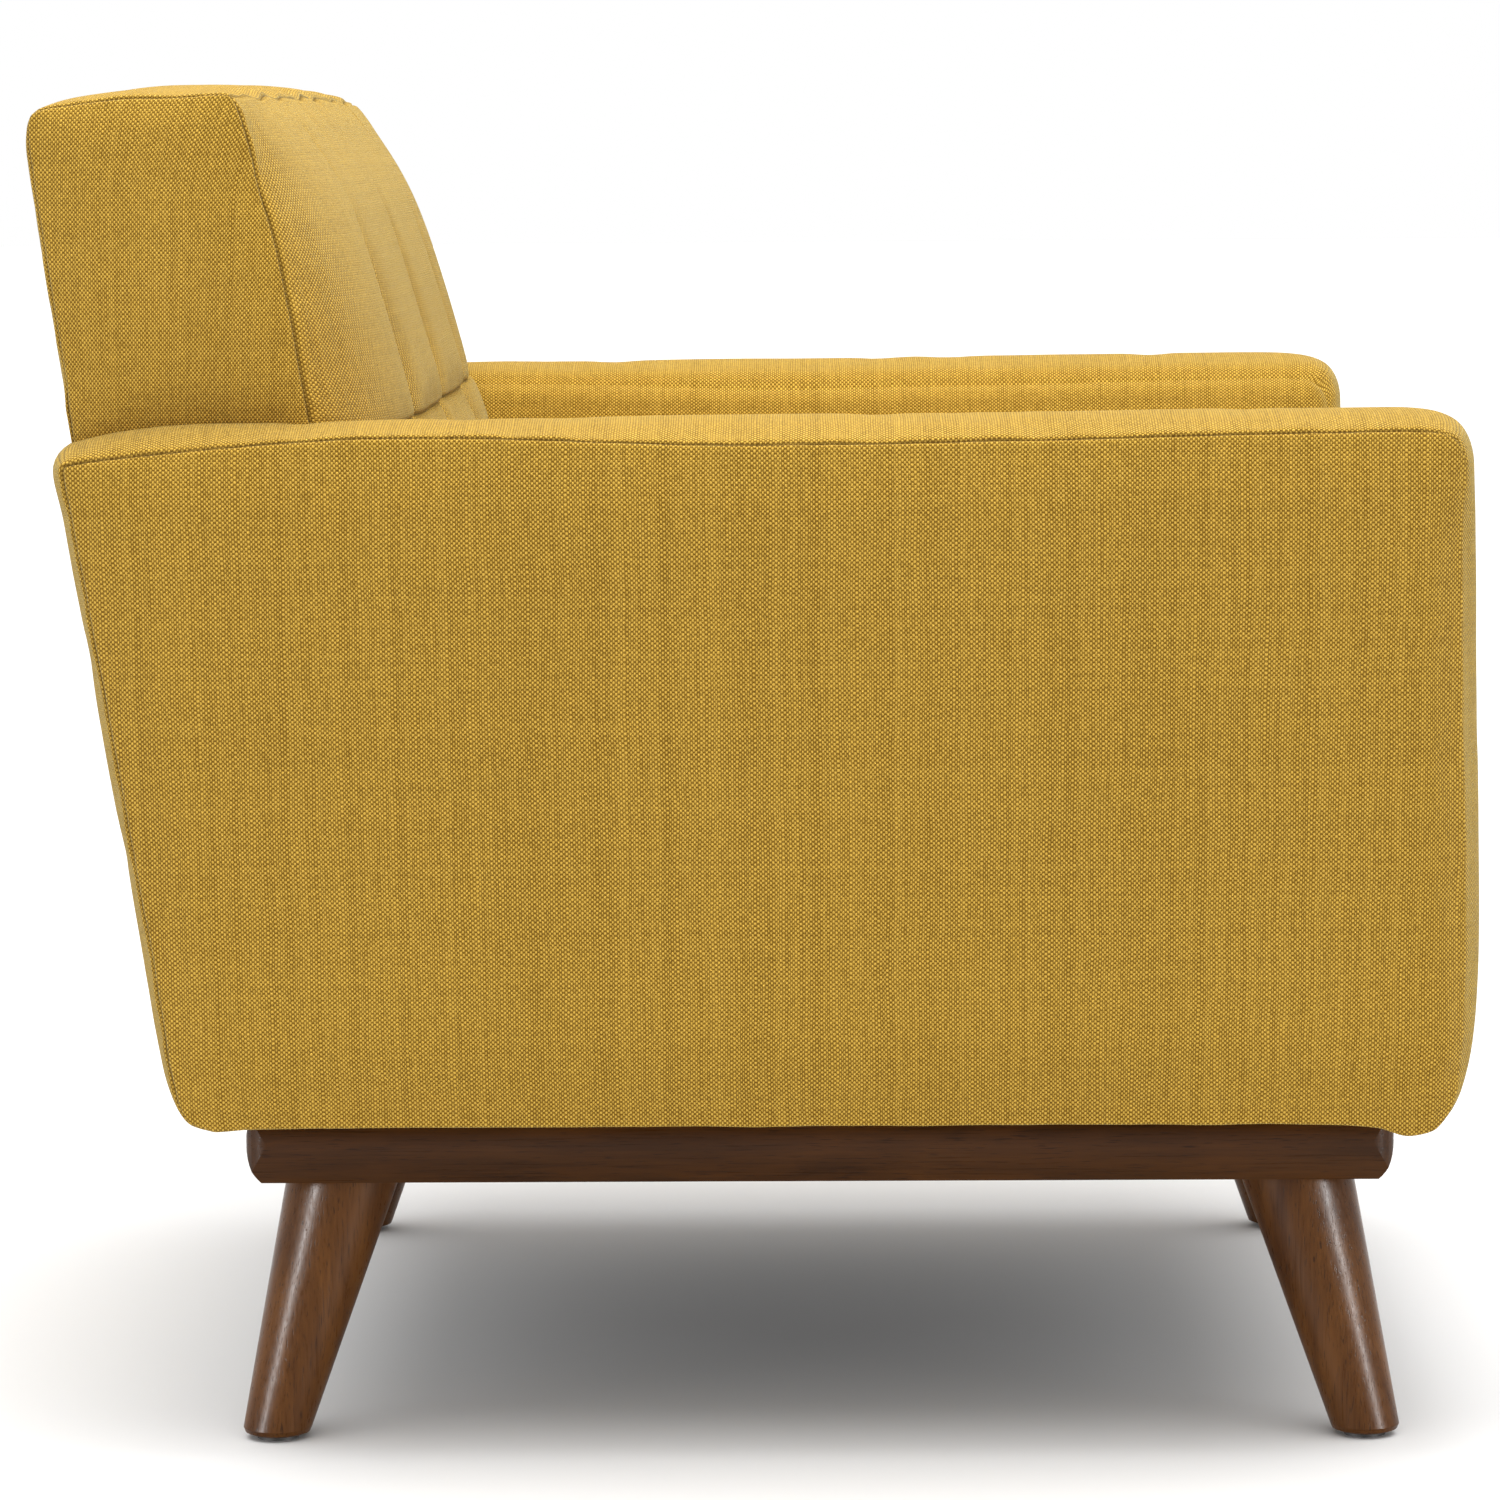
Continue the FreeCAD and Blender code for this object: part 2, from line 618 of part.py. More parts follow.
def build_back_pads():
    foam_rear = before_rear("pad_rear + frame_deep + 2 * web_thick")
    keep(crossed("back_lower_foam",
                 [(foam_rear("deck_top"), "deck_top"), ("foam_foot", "deck_top"),
                  ("foam_seat", "cushion_top"), ("foam_arm", "arm_top"), (foam_rear("arm_top"), "arm_top")],
                 between_arms("arm_thick", "deck_top", "arm_top")))
    keep(prism("back_upper_foam", "side",
               [(foam_rear("arm_top"), "arm_top"), ("foam_arm", "arm_top"), ("foam_high", "foam_high_z"),
                ("foam_top", "frame_top"), (foam_rear("frame_top"), "frame_top")],
               "side_pad - back_half", "back_half - side_pad"))
    for name, side in SIDES.items():
        edges = sorted([f"{side} * (back_half - side_pad)", f"{side} * back_half"], reverse=side < 0)
        keep(prism(f"back_side_pad_{name}", "side",
                   [("side_seam", "arm_top"), ("foam_top", "frame_top"),
                    (rear_y("pad_rear", "frame_top"), "frame_top"),
                    (rear_y("pad_rear", "arm_top"), "arm_top")], *edges))
    crown = "back_top - top_round"
    keep(prism("back_top_pad", "side",
               [("foam_top", "frame_top"), ("foam_top + pad_top", "back_top"),
                (rear_y("pad_top", "back_top"), "back_top"), (rear_y("0", crown), crown),
                (rear_y("0", "frame_top"), "frame_top")],
               "-back_half", "back_half"))
    outline = [(f"-{lean_x('arm_thick', 'body_bottom')}", "body_bottom"),
               (f"-{lean_x('arm_thick', 'arm_top')}", "arm_top"),
               ("-back_half", "arm_top"), ("-back_half", "frame_top"),
               ("back_half", "frame_top"), ("back_half", "arm_top"),
               (lean_x("arm_thick", "arm_top"), "arm_top"),
               (lean_x("arm_thick", "body_bottom"), "body_bottom")]
    keep(crossed("back_rear_panel",
                 side_band(before_rear("pad_rear"), before_rear("0"), "body_bottom", "frame_top"),
                 outline))


# ---- assembly ----------------------------------------------------------------------------------------------
build_base()
build_seat()
build_cushion()
for arm_name, arm_side in SIDES.items():
    build_arm(arm_name, arm_side)
build_back_frame()
keep(back_webbing())
build_back_pads()
doc.recompute()

for item in doc.Objects:
    if "Invalid" in item.State or "Error" in item.State:
        raise RuntimeError(f"{item.Label}: {item.State}")
os.makedirs("parts", exist_ok=True)
for piece in pieces:
    if piece.Shape.isNull() or not piece.Shape.isValid() or piece.Shape.Volume < 1:
        raise RuntimeError(f"{piece.Label} has no valid solid")
    piece.Shape.exportStep(f"parts/{piece.Label}.step")
box = Part.makeCompound([piece.Shape for piece in pieces]).BoundBox
print(len(pieces), "nodes")
print("X", round(box.XMin, 1), round(box.XMax, 1), "Y", round(box.YMin, 1), round(box.YMax, 1),
      "Z", round(box.ZMin, 1), round(box.ZMax, 1))
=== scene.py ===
"""Looks of a single-seat upholstered sofa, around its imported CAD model. All lengths are metres.

+X points to the sitter's left, +Y to the rear and +Z up. A padded piece is a box form: a closed outline, an
end panel on each side and the boxing strip between them. A short cloth run fills it, and then it is
subdivided and its seams are drawn in.
"""
import math

import bmesh
import bpy
import numpy as np
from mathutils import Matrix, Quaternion, Vector, noise


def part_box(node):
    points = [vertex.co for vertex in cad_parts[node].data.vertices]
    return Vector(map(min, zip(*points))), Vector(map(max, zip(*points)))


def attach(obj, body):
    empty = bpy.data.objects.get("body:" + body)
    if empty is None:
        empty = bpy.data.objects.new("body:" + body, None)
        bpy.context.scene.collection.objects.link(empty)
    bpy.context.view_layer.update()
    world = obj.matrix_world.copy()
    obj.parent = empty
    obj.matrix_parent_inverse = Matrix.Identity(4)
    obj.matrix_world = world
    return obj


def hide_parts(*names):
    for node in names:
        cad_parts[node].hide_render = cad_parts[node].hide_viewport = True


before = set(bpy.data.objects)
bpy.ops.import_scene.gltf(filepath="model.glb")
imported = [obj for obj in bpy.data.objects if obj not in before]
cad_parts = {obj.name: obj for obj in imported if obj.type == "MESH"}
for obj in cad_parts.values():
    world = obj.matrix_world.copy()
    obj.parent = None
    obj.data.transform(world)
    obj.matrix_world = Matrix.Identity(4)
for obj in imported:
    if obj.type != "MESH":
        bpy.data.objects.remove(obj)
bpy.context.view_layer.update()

MM = 0.001

# box forms
SEAM_STEP = 2.2 * MM        # half the width of a seam's groove
SEAM_DEPTH = 2.4 * MM
PUCKER_REACH = 11 * MM      # how far from a seam its small puckers fade out
CORNER_BLEND = 34 * MM      # length over which one side's shape turns into the next side's
CORNER_OWN = 0.414          # what a rounded corner's middle point takes from the sharp corner
CORNER_ENDS = 0.293         # and from each of the points where the rounding starts and ends
CURVE_POINTS = 24           # points of the smooth outline for each knot
SWELL_POWER = 0.62          # how soon the boxing's swell rises beside a seam
ROLL_HELD = 0.8             # share of a rolled edge's radius that the cloth run leaves in place

# the run that fills the covers
CLOTH_FRAMES = 20
CLOTH_PRESSURE = 4.0

# the covers' unevenness: the sizes of its bumps, and their strengths
STITCH_SIZE, STITCH_UNEVEN = 7 * MM, 0.35
PUCKER_SIZE = 9 * MM
DIMPLE_SIZE, DIMPLE_SHARE = 34 * MM, 1.2
WAVE_SIZE, WAVE_HEIGHT = 75 * MM, 0.45 * MM
SEED_SHIFT = (3.17, 1.71, 2.39)     # how far the noise moves for each seed
NOISE_GAIN = 1.6                    # brings the noise to about -1 to 1

# the arms, as in the CAD model
HALF_WIDTH = 493 * MM
ARM_TOP = 645 * MM
ARM_THICK = 123 * MM
ARM_FLARE = 58 / 433        # how far an arm moves out for each unit of height
REAR_LEAN = 63 / 433        # how far the rear face moves back for each unit of height
ARM_REAR = 412 * MM

# the levels that covers rest on
BODY_BOTTOM = 211 * MM      # 1 mm inside the plinth's top
PLINTH_REACH = 360 * MM     # the arms' covers keep above it this far out, just past the plinth's edge
CUSHION_BOTTOM = 313.6 * MM

# the back
BACK_HALF = 442 * MM
VALLEYS = (-0.238, 0.0, 0.238)      # X of the folds between the back's channels
VALLEY_DEPTH = 15 * MM
VALLEY_REACH = 13 * MM
VALLEY_END = 795 * MM               # height at which the folds have faded out
VALLEY_FADE = 125 * MM

FABRIC_DARK = (0.148, 0.073, 0.0035)
FABRIC_LIGHT = (0.60, 0.37, 0.058)
# colour of the seams: a dark thread line plus painted shade in their grooves
SEAM_THREAD_AND_SHADE = (0.10, 0.05, 0.006)
UPRIGHT_THREAD = 1.5 * MM
LEVEL_THREAD = 1.4 * MM

shells = []     # every padded piece, with what its finishing needs


# ---- outlines ----------------------------------------------------------------------------------------------
def smooth(x):
    """A step from 0 to 1 that starts and ends gently."""
    x = np.clip(x, 0, 1)
    return x * x * (3 - 2 * x)


def spaced(length, step):
    """Parameters from 0 to 1 between two seams: one short step at each end, then wider towards the middle."""
    count = max(4, round(length / step))
    even = np.linspace(0, 1, count + 1)
    eased = even - 0.5 * np.sin(2 * np.pi * even) / (2 * np.pi)
    edge = min(SEAM_STEP / length, 0.1)
    return np.concatenate([[0], edge + eased * (1 - 2 * edge), [1]])


def rounded_knots(knots):
    """The outline's points with each corner rounded, and which of them are the corners' middles.

    A knot is (a, b), and a corner is (a, b, radius)."""
    points, middles = [], []
    for i, knot in enumerate(knots):
        here = np.array(knot[:2])
        if len(knot) == 2:
            points.append(here)
            continue
        before = np.array(knots[i - 1][:2]) - here
        after = np.array(knots[(i + 1) % len(knots)][:2]) - here
        start = here + knot[2] * before / np.linalg.norm(before)
        end = here + knot[2] * after / np.linalg.norm(after)
        middles.append(len(points) + 1)
        points += [start, here * CORNER_OWN + (start + end) * CORNER_ENDS, end]
    return np.array(points) * MM, middles


def closed_curve(points):
    """A smooth closed line through the points, with CURVE_POINTS points for each of them."""
    chord = np.roll(points, -1, 0) - points
    span = np.linalg.norm(chord, axis=1, keepdims=True)
    slope = chord / span
    span_before = np.roll(span, 1, 0)
    tangent = (span_before * np.roll(slope, 1, 0) + span * slope) / (span + span_before)
    t = np.linspace(0, 1, CURVE_POINTS, endpoint=False)[None, :, None]
    start, end = points[:, None], np.roll(points, -1, 0)[:, None]
    leave = (tangent * span)[:, None]
    arrive = (np.roll(tangent, -1, 0) * span)[:, None]
    line = (2 * t**3 - 3 * t**2 + 1) * start + (t**3 - 2 * t**2 + t) * leave
    line = line + (3 * t**2 - 2 * t**3) * end + (t**3 - t**2) * arrive
    return line.reshape(-1, 2)


def four_sides(knots):
    """The outline's four sides as dense lines, each from one corner's middle to the next one's."""
    points, middles = rounded_knots(knots)
    line = closed_curve(points)
    splits = [middle * CURVE_POINTS for middle in middles]
    line = np.roll(line, -splits[0], 0)
    splits = [split - splits[0] for split in splits] + [len(line)]
    line = np.vstack([line, line[:1]])
    return [line[splits[k]:splits[k + 1] + 1] for k in range(4)]


def arc_lengths(line):
    steps = np.linalg.norm(np.diff(line, axis=0), axis=1)
    return np.concatenate([[0], np.cumsum(steps)])


def resample(line, parameters):
    along = arc_lengths(line)
    wanted = parameters * along[-1]
    return np.stack([np.interp(wanted, along, line[:, axis]) for axis in range(2)], 1)


def coons(bottom, right, top, left, u, v):
    """Points between four sides. Bottom and top run with u, and left and right with v."""
    u, v = u[:, None, None], v[None, :, None]
    across = (1 - v) * bottom[:, None] + v * top[:, None]
    upward = (1 - u) * left[None] + u * right[None]
    corners = (1 - u) * ((1 - v) * bottom[0] + v * top[0]) + u * ((1 - v) * bottom[-1] + v * top[-1])
    return across + upward - corners


# ---- box forms ---------------------------------------------------------------------------------------------
def rolled_edge(distance, radius):
    """How a face moves along itself and into the body at this distance from an edge that rolls over."""
    radius = np.maximum(radius, 0.001 * MM)
    turn = math.pi / 4 * np.clip(1 - distance / radius, 0, 1)
    along = radius * np.sin(turn) - np.clip(radius - distance, 0, None)
    return along, radius * (np.cos(turn) - 1)


def side_shares(along, lengths):
    """How much each row of the boxing belongs to each side, and its distance from each corner."""
    rows = sum(len(places) - 1 for places in along)
    share = np.zeros((rows, 4))
    to_corner = np.full((rows, 4), 1.0)
    first = 0
    for k in range(4):
        here = slice(first, first + len(along[k]) - 1)
        from_start = along[k][:-1] * lengths[k]
        from_end = lengths[k] - from_start
        before = 0.5 * (1 - smooth(from_start / CORNER_BLEND))
        after = 0.5 * (1 - smooth(from_end / CORNER_BLEND))
        share[here, k] = 1 - before - after
        share[here, k - 1] += before
        share[here, (k + 1) % 4] += after
        to_corner[here, k] = from_start
        to_corner[here, (k + 1) % 4] = np.minimum(to_corner[here, (k + 1) % 4], from_end)
        first += len(along[k]) - 1
    return share, to_corner


def boxing_uv(k, side, t, thick, rolled, turned):
    """Weave coordinates of the boxing on side k. A rolled side is one cloth with the second end panel."""
    across = np.broadcast_to(t[None] * thick, (len(side), len(t)))
    a = np.broadcast_to(side[:, :1], across.shape)
    b = np.broadcast_to(side[:, 1:], across.shape)
    if rolled:
        return np.stack([a, b + thick - across] if k == 2 else [a - thick + across, b], -1)
    middle = side.mean(0)
    sign = 1 if k in (1, 2) else -1
    if k in (0, 2):
        return np.stack([a, middle[1] + sign * across], -1)
    if turned:
        return np.stack([middle[0] + sign * across, b], -1)
    return np.stack([b, middle[0] + sign * across], -1)


def panel_edges(u, v, lengths):
    """Each panel point's distance from the four sides."""
    from_left, from_bottom = u[:, None] * lengths[0], v[None] * lengths[1]
    from_right, from_top = (1 - u[:, None]) * lengths[0], (1 - v[None]) * lengths[1]
    sides = (from_bottom, from_right, from_top, from_left)
    return [np.broadcast_to(side, (len(u), len(v))) for side in sides]


def panel_ids(boxing_edge, nu, nv, first_new):
    """Vertex numbers of an end panel. Its own edge is the boxing's, and the points inside it are new."""
    rows = len(boxing_edge)
    ids = np.empty((nu + 1, nv + 1), int)
    ids[:, 0] = boxing_edge[np.arange(nu + 1) % rows]
    ids[-1, :] = boxing_edge[(nu + np.arange(nv + 1)) % rows]
    ids[:, -1] = boxing_edge[(nu + nv + np.arange(nu, -1, -1)) % rows]
    ids[0, :] = boxing_edge[(2 * nu + nv + np.arange(nv, -1, -1)) % rows]
    ids[1:-1, 1:-1] = first_new + np.arange((nu - 1) * (nv - 1)).reshape(nu - 1, nv - 1)
    return ids


def box_form(name, knots, place, thick, step, crown=(0, 0, 0, 0), bulge=(0, 0), stations=None,
             seams=(1, 1, 1, 1), far_seams=None, rolled=(0, 0, 0, 0), cross_seams=(), turned=(1, 3),
             edge_round=14 * MM, resting=()):
    """A closed padded shape between two end panels.

    knots is the end panels' outline, from its first corner round through all four sides. place turns outline
    coordinates, the share of the way across and a lift into a point. thick is the distance across, and step
    the spacing of the mesh. crown is how far the boxing swells out on each side and bulge how far each end
    panel does, both in millimetres. stations are the shares of the way across at which the boxing has points.
    seams says which sides' edges are sewn, far_seams the same for the second end panel, and rolled the radius
    with which that panel's cloth rolls over into the boxing instead. cross_seams says at which corners a seam
    crosses the boxing, turned on which sides the upright threads run along the outline, edge_round how far a
    panel's bulge takes to rise, and resting which sides lie on something and stay as they are."""
    sides = four_sides(knots)
    lengths = [arc_lengths(side)[-1] for side in sides]
    u = spaced((lengths[0] + lengths[2]) / 2, step)
    v = spaced((lengths[1] + lengths[3]) / 2, step)
    along = [u, v, u, v]
    sides = [resample(side, p) for side, p in zip(sides, along)]
    t = spaced(thick, step) if stations is None else stations
    loop = np.concatenate([side[:-1] for side in sides])
    rows = len(loop)
    share, to_corner = side_shares(along, lengths)

    # the boxing swells out of the outline, and rolls over towards the second end panel
    tangent = np.roll(loop, -1, 0) - np.roll(loop, 1, 0)
    outward = np.stack([tangent[:, 1], -tangent[:, 0]], 1)
    outward /= np.linalg.norm(outward, axis=1, keepdims=True)
    swell = sum(share[:, k] * (crown[k](loop) if callable(crown[k]) else crown[k] * MM) for k in range(4))
    profile = np.sin(np.pi * t) ** SWELL_POWER
    radii = share @ np.array(rolled, float) * MM
    along_roll, into_roll = rolled_edge((1 - t)[None] * thick, radii[:, None])
    flat = loop[:, None] + outward[:, None] * (swell[:, None] * profile[None] + into_roll)[..., None]
    boxing = place(flat[..., 0], flat[..., 1], t[None], along_roll)
    points = [boxing.reshape(-1, 3)]
    index = np.arange(rows * len(t)).reshape(rows, len(t))

    # where it is sewn, where that puckers it, and what the cloth run leaves in place
    end_seams = (seams, seams if far_seams is None else far_seams)
    seam, near = np.zeros(index.shape), np.zeros(index.shape)
    for end, column, from_edge in ((0, 0, t * thick), (1, -1, (1 - t) * thick)):
        sewn = share @ np.array(end_seams[end], float)
        seam[:, column] = sewn
        near = np.maximum(near, sewn[:, None] * np.exp(-from_edge / PUCKER_REACH)[None])
    for k in cross_seams:
        seam = np.maximum(seam, (to_corner[:, k] < 1e-9)[:, None] * 1.0)
        near = np.maximum(near, np.exp(-to_corner[:, k] / PUCKER_REACH)[:, None])
    pinned = (seam > 0.5) | ((1 - t)[None] * thick < ROLL_HELD * radii[:, None])
    for k in resting:
        pinned |= (share[:, k] > 0.5)[:, None]
    seam, near, pinned = [seam.ravel()], [near.ravel()], [pinned.ravel()]

    faces, face_uv = [], []

    def add_grid(grid, uv):
        for i in range(grid.shape[0] - 1):
            for j in range(grid.shape[1] - 1):
                cell = ((i, j), (i + 1, j), (i + 1, j + 1), (i, j + 1))
                faces.append([int(grid[c]) for c in cell])
                face_uv.extend([uv[c] for c in cell])

    first = 0
    side_rows = []
    for k in range(4):
        picked = np.arange(first, first + len(along[k])) % rows
        side_rows.append(picked)
        add_grid(index[picked], boxing_uv(k, sides[k], t, thick, rolled[k] > 0, k in turned))
        first += len(along[k]) - 1

    # the end panels share their edges with the boxing
    grid = coons(sides[0], sides[1], sides[2][::-1], sides[3][::-1], u, v)
    nu, nv = len(u) - 1, len(v) - 1
    edges = panel_edges(u, v, lengths)
    roundness = np.prod([1 - np.exp(-edge / edge_round) for edge in edges], axis=0)
    rolled_grid, sunk = grid.copy(), np.zeros(roundness.shape)
    held = np.zeros(roundness.shape, bool)
    for k in range(4):
        picked = side_rows[k] if k < 2 else side_rows[k][::-1]
        grid_rows = picked[:, None] if k in (0, 2) else picked[None]
        along_roll, into_roll = rolled_edge(edges[k], radii[grid_rows])
        rolled_grid += outward[grid_rows] * along_roll[..., None]
        sunk = np.minimum(sunk, into_roll)
        held |= edges[k] < ROLL_HELD * radii[grid_rows]
    for end, column in ((0, 0), (1, len(t) - 1)):
        panel_near = np.max([end_seams[end][k] * np.exp(-edges[k] / PUCKER_REACH) for k in range(4)], axis=0)
        flat = rolled_grid if end else grid
        panel = place(flat[..., 0], flat[..., 1], end, bulge[end] * MM * roundness + end * sunk)
        ids = panel_ids(index[:, column], nu, nv, sum(len(p) for p in points))
        inside = (slice(1, -1), slice(1, -1))
        points.append(panel[inside].reshape(-1, 3))
        seam.append(np.zeros((nu - 1) * (nv - 1)))
        near.append(panel_near[inside].ravel())
        pinned.append(held[inside].ravel() & (end == 1))
        add_grid(ids, grid)

    piece = mesh_piece(name, np.vstack(points), faces, face_uv)
    set_attribute(piece.data, "seam", np.concatenate(seam))
    set_attribute(piece.data, "near", np.concatenate(near))
    group = piece.vertex_groups.new(name="pinned")
    group.add([int(i) for i in np.flatnonzero(np.concatenate(pinned))], 1.0, "REPLACE")
    return piece


def mesh_piece(name, points, faces, face_uv=None):
    """A new object with this mesh, its faces turned outward."""
    mesh = bpy.data.meshes.new(name)
    mesh.from_pydata([tuple(map(float, p)) for p in points], [], faces)
    if face_uv is not None:
        layer = mesh.uv_layers.new(name="weave")
        layer.data.foreach_set("uv", np.array(face_uv, np.float32).ravel())
    shape = bmesh.new()
    shape.from_mesh(mesh)
    bmesh.ops.recalc_face_normals(shape, faces=shape.faces)
    shape.to_mesh(mesh)
    shape.free()
    piece = bpy.data.objects.new(name, mesh)
    bpy.context.scene.collection.objects.link(piece)
    return piece


def set_attribute(mesh, name, values):
    layer = mesh.attributes.new(name, "FLOAT", "POINT")
    layer.data.foreach_set("value", np.array(values, np.float32))


def get_attribute(mesh, name):
    values = np.zeros(len(mesh.vertices), np.float32)
    mesh.attributes[name].data.foreach_get("value", values)
    return values


def coordinates(mesh):
    values = np.zeros(len(mesh.vertices) * 3, np.float32)
    mesh.vertices.foreach_get("co", values)
    return values.reshape(-1, 3).astype(float)


def set_coordinates(mesh, points):
    mesh.vertices.foreach_set("co", np.array(points, np.float32).ravel())
    mesh.update()


def wander(points, size, seed):
    """Smooth noise from about -1 to 1, with bumps of this size."""
    shift = Vector([seed * amount for amount in SEED_SHIFT])
    return np.array([noise.noise(Vector(p) / size + shift) for p in points]) * NOISE_GAIN


# ---- filling and finishing ---------------------------------------------------------------------------------
def pad(piece, cap, looseness=0.012, puckers=0.5, floor=None, seed=1):
    """Puts the piece on the list that fill_all and finish_all work through.

    cap is how far a point may move in the cloth run and puckers the height of the small puckers beside a
    seam, both in millimetres. looseness is the spare cloth that wrinkles between seams. floor is the height
    that the piece rests on, and how far from the middle it does."""
    shells.append({"piece": piece, "cap": cap * MM, "looseness": looseness, "puckers": puckers * MM,
                   "floor": floor, "seed": seed})
    return piece


def fill_all():
    """Fills every padded piece by pressure in one short cloth run without gravity, and applies the result."""
    scene = bpy.context.scene
    scene.frame_start = 1
    scene.frame_end = CLOTH_FRAMES
    scene.frame_set(1)
    for shell in shells:
        cloth = shell["piece"].modifiers.new("Cloth", "CLOTH")
        cloth.point_cache.frame_start = 1
        cloth.point_cache.frame_end = CLOTH_FRAMES
        cloth.collision_settings.use_collision = False
        settings = cloth.settings
        settings.quality = 4
        settings.mass = 0.3
        settings.tension_stiffness = 15
        settings.compression_stiffness = 15
        settings.shear_stiffness = 5
        settings.bending_stiffness = 0.6
        settings.use_pressure = True
        settings.uniform_pressure_force = CLOTH_PRESSURE
        settings.shrink_min = -shell["looseness"]
        settings.vertex_group_mass = "pinned"
        settings.effector_weights.gravity = 0
    for step in range(1, CLOTH_FRAMES + 1):
        scene.frame_set(step)
    graph = bpy.context.evaluated_depsgraph_get()
    filled = [coordinates(shell["piece"].evaluated_get(graph).data) for shell in shells]
    for shell, after in zip(shells, filled):
        piece = shell["piece"]
        before = coordinates(piece.data)
        move = after - before
        size = np.linalg.norm(move, axis=1, keepdims=True) + 1e-9
        move *= shell["cap"] * np.tanh(size / shell["cap"]) / size
        piece.modifiers.remove(piece.modifiers["Cloth"])
        set_coordinates(piece.data, before + move)
    scene.frame_set(1)


def finish_all():
    """Subdivides every padded piece once, and then draws in its seams, puckers and soft unevenness."""
    for shell in shells:
        piece = shell["piece"]
        divide = piece.modifiers.new("Divide", "SUBSURF")
        divide.levels = divide.render_levels = 1
        graph = bpy.context.evaluated_depsgraph_get()
        divided = piece.evaluated_get(graph)
        fine = bpy.data.meshes.new_from_object(divided, preserve_all_data_layers=True, depsgraph=graph)
        piece.modifiers.clear()
        rough = piece.data
        piece.data = fine
        bpy.data.meshes.remove(rough)
        fine.name = piece.name
        piece.vertex_groups.clear()
        points = coordinates(fine)
        normals = np.zeros(len(points) * 3, np.float32)
        fine.vertices.foreach_get("normal", normals)
        normals = normals.reshape(-1, 3)
        seam, near = get_attribute(fine, "seam"), get_attribute(fine, "near")
        seed = shell["seed"]
        stitches = 1 + STITCH_UNEVEN * wander(points, STITCH_SIZE, seed)
        height = -SEAM_DEPTH * seam ** 1.5 * stitches
        height += shell["puckers"] * near * (1 - seam) * wander(points, PUCKER_SIZE, seed + 5)
        height += DIMPLE_SHARE * shell["puckers"] * near ** 0.4 * wander(points, DIMPLE_SIZE, seed + 9)
        height += WAVE_HEIGHT * wander(points, WAVE_SIZE, seed + 13)
        points += normals * height[:, None]
        if shell["floor"] is not None:
            low, reach = shell["floor"]
            on_it = np.abs(points[:, 0]) < reach
            points[on_it, 2] = np.maximum(points[on_it, 2], low)
        set_coordinates(fine, points)
        fine.shade_smooth()


def add_details(piece, body, replaced, material):
    """Gives a piece its material, parents it to the empty of the body that it rides on, and hides the CAD
    parts that it stands for.
    """
    piece.data.materials.clear()
    piece.data.materials.append(material)
    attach(piece, body)
    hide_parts(*replaced)
    return piece


# ---- padded pieces -----------------------------------------------------------------------------------------
def lean_x(height):
    """X of an arm's outer face at this height."""
    return HALF_WIDTH - (ARM_TOP - height) * ARM_FLARE


def rear_y(height):
    """Y of the rear face at this height."""
    return ARM_REAR - (ARM_TOP - height) * REAR_LEAN


def signed(lift, across):
    """The lift counted towards the first end panel: plus on its half, and minus on the second one's."""
    return lift * np.where(np.asarray(across) < 0.5, 1, -1)


def as_points(x, y, z):
    return np.stack(np.broadcast_arrays(x, y, z), -1)


def build_arm(side):
    """One arm's cover. Its outline is the outer panel's edge, in Y and Z."""
    knots = (
        (-414, 203, 18), (-389, 204.5), (-376, 209), (-330, 211.5), (0, 211.5), (300, 211.5), (330, 209.5),
        (349.5, 208.5, 21), (364.5, 314), (386, 463), (396.5, 536),
        (409, 618, 6), (355, 624.5), (266, 632), (207, 634),
        (132, 632.5), (0, 628.5), (-154, 630.5), (-331, 634),
        (-419, 634, 19), (-420.5, 557), (-424, 457), (-428, 345), (-428, 277), (-423.5, 232),
    )
    inset, inner_inset = 5 * MM, 4 * MM
    crest, crest_fall = 641.3 * MM, 0.0075      # the top's highest line, and how it falls to the rear
    most_crown = 13.5 * MM

    def place(y, z, across, lift):
        outer = lean_x(z) - inset
        inner = lean_x(z) - ARM_THICK + inner_inset
        x = side * (outer + (inner - outer) * across + signed(lift, across))
        return as_points(x, y, z)

    def top_crown(loop):
        return np.clip(crest - crest_fall * loop[:, 0] - loop[:, 1], 0, most_crown)

    name = "arm_cover_left" if side > 0 else "arm_cover_right"
    return box_form(name, knots, place, ARM_THICK, 11 * MM, crown=(0, 9, top_crown, 7), bulge=(4.5, 4),
                    seams=(0.2, 1, 1, 0), far_seams=(0.2, 1, 0, 0), rolled=(0, 0, 22, 14), resting=(0,))


def channel_depth(x, height):
    """How far the back's front face sinks at X: sharp folds that fade out towards the top."""
    fade = smooth((VALLEY_END - height) / VALLEY_FADE)
    folds = sum(np.exp(-np.abs(x - fold) / VALLEY_REACH) for fold in VALLEYS)
    return VALLEY_DEPTH * fade * folds


def channel_stations(half, step):
    """Shares of the way from +half to -half in X, closer together at the folds and at both ends."""
    stops = [half, *sorted(VALLEYS, reverse=True), -half]
    x = []
    for start, end in zip(stops, stops[1:]):
        x += list(start + (end - start) * spaced(start - end, step)[:-1])
    return (half - np.array(x + [-half])) / (2 * half)


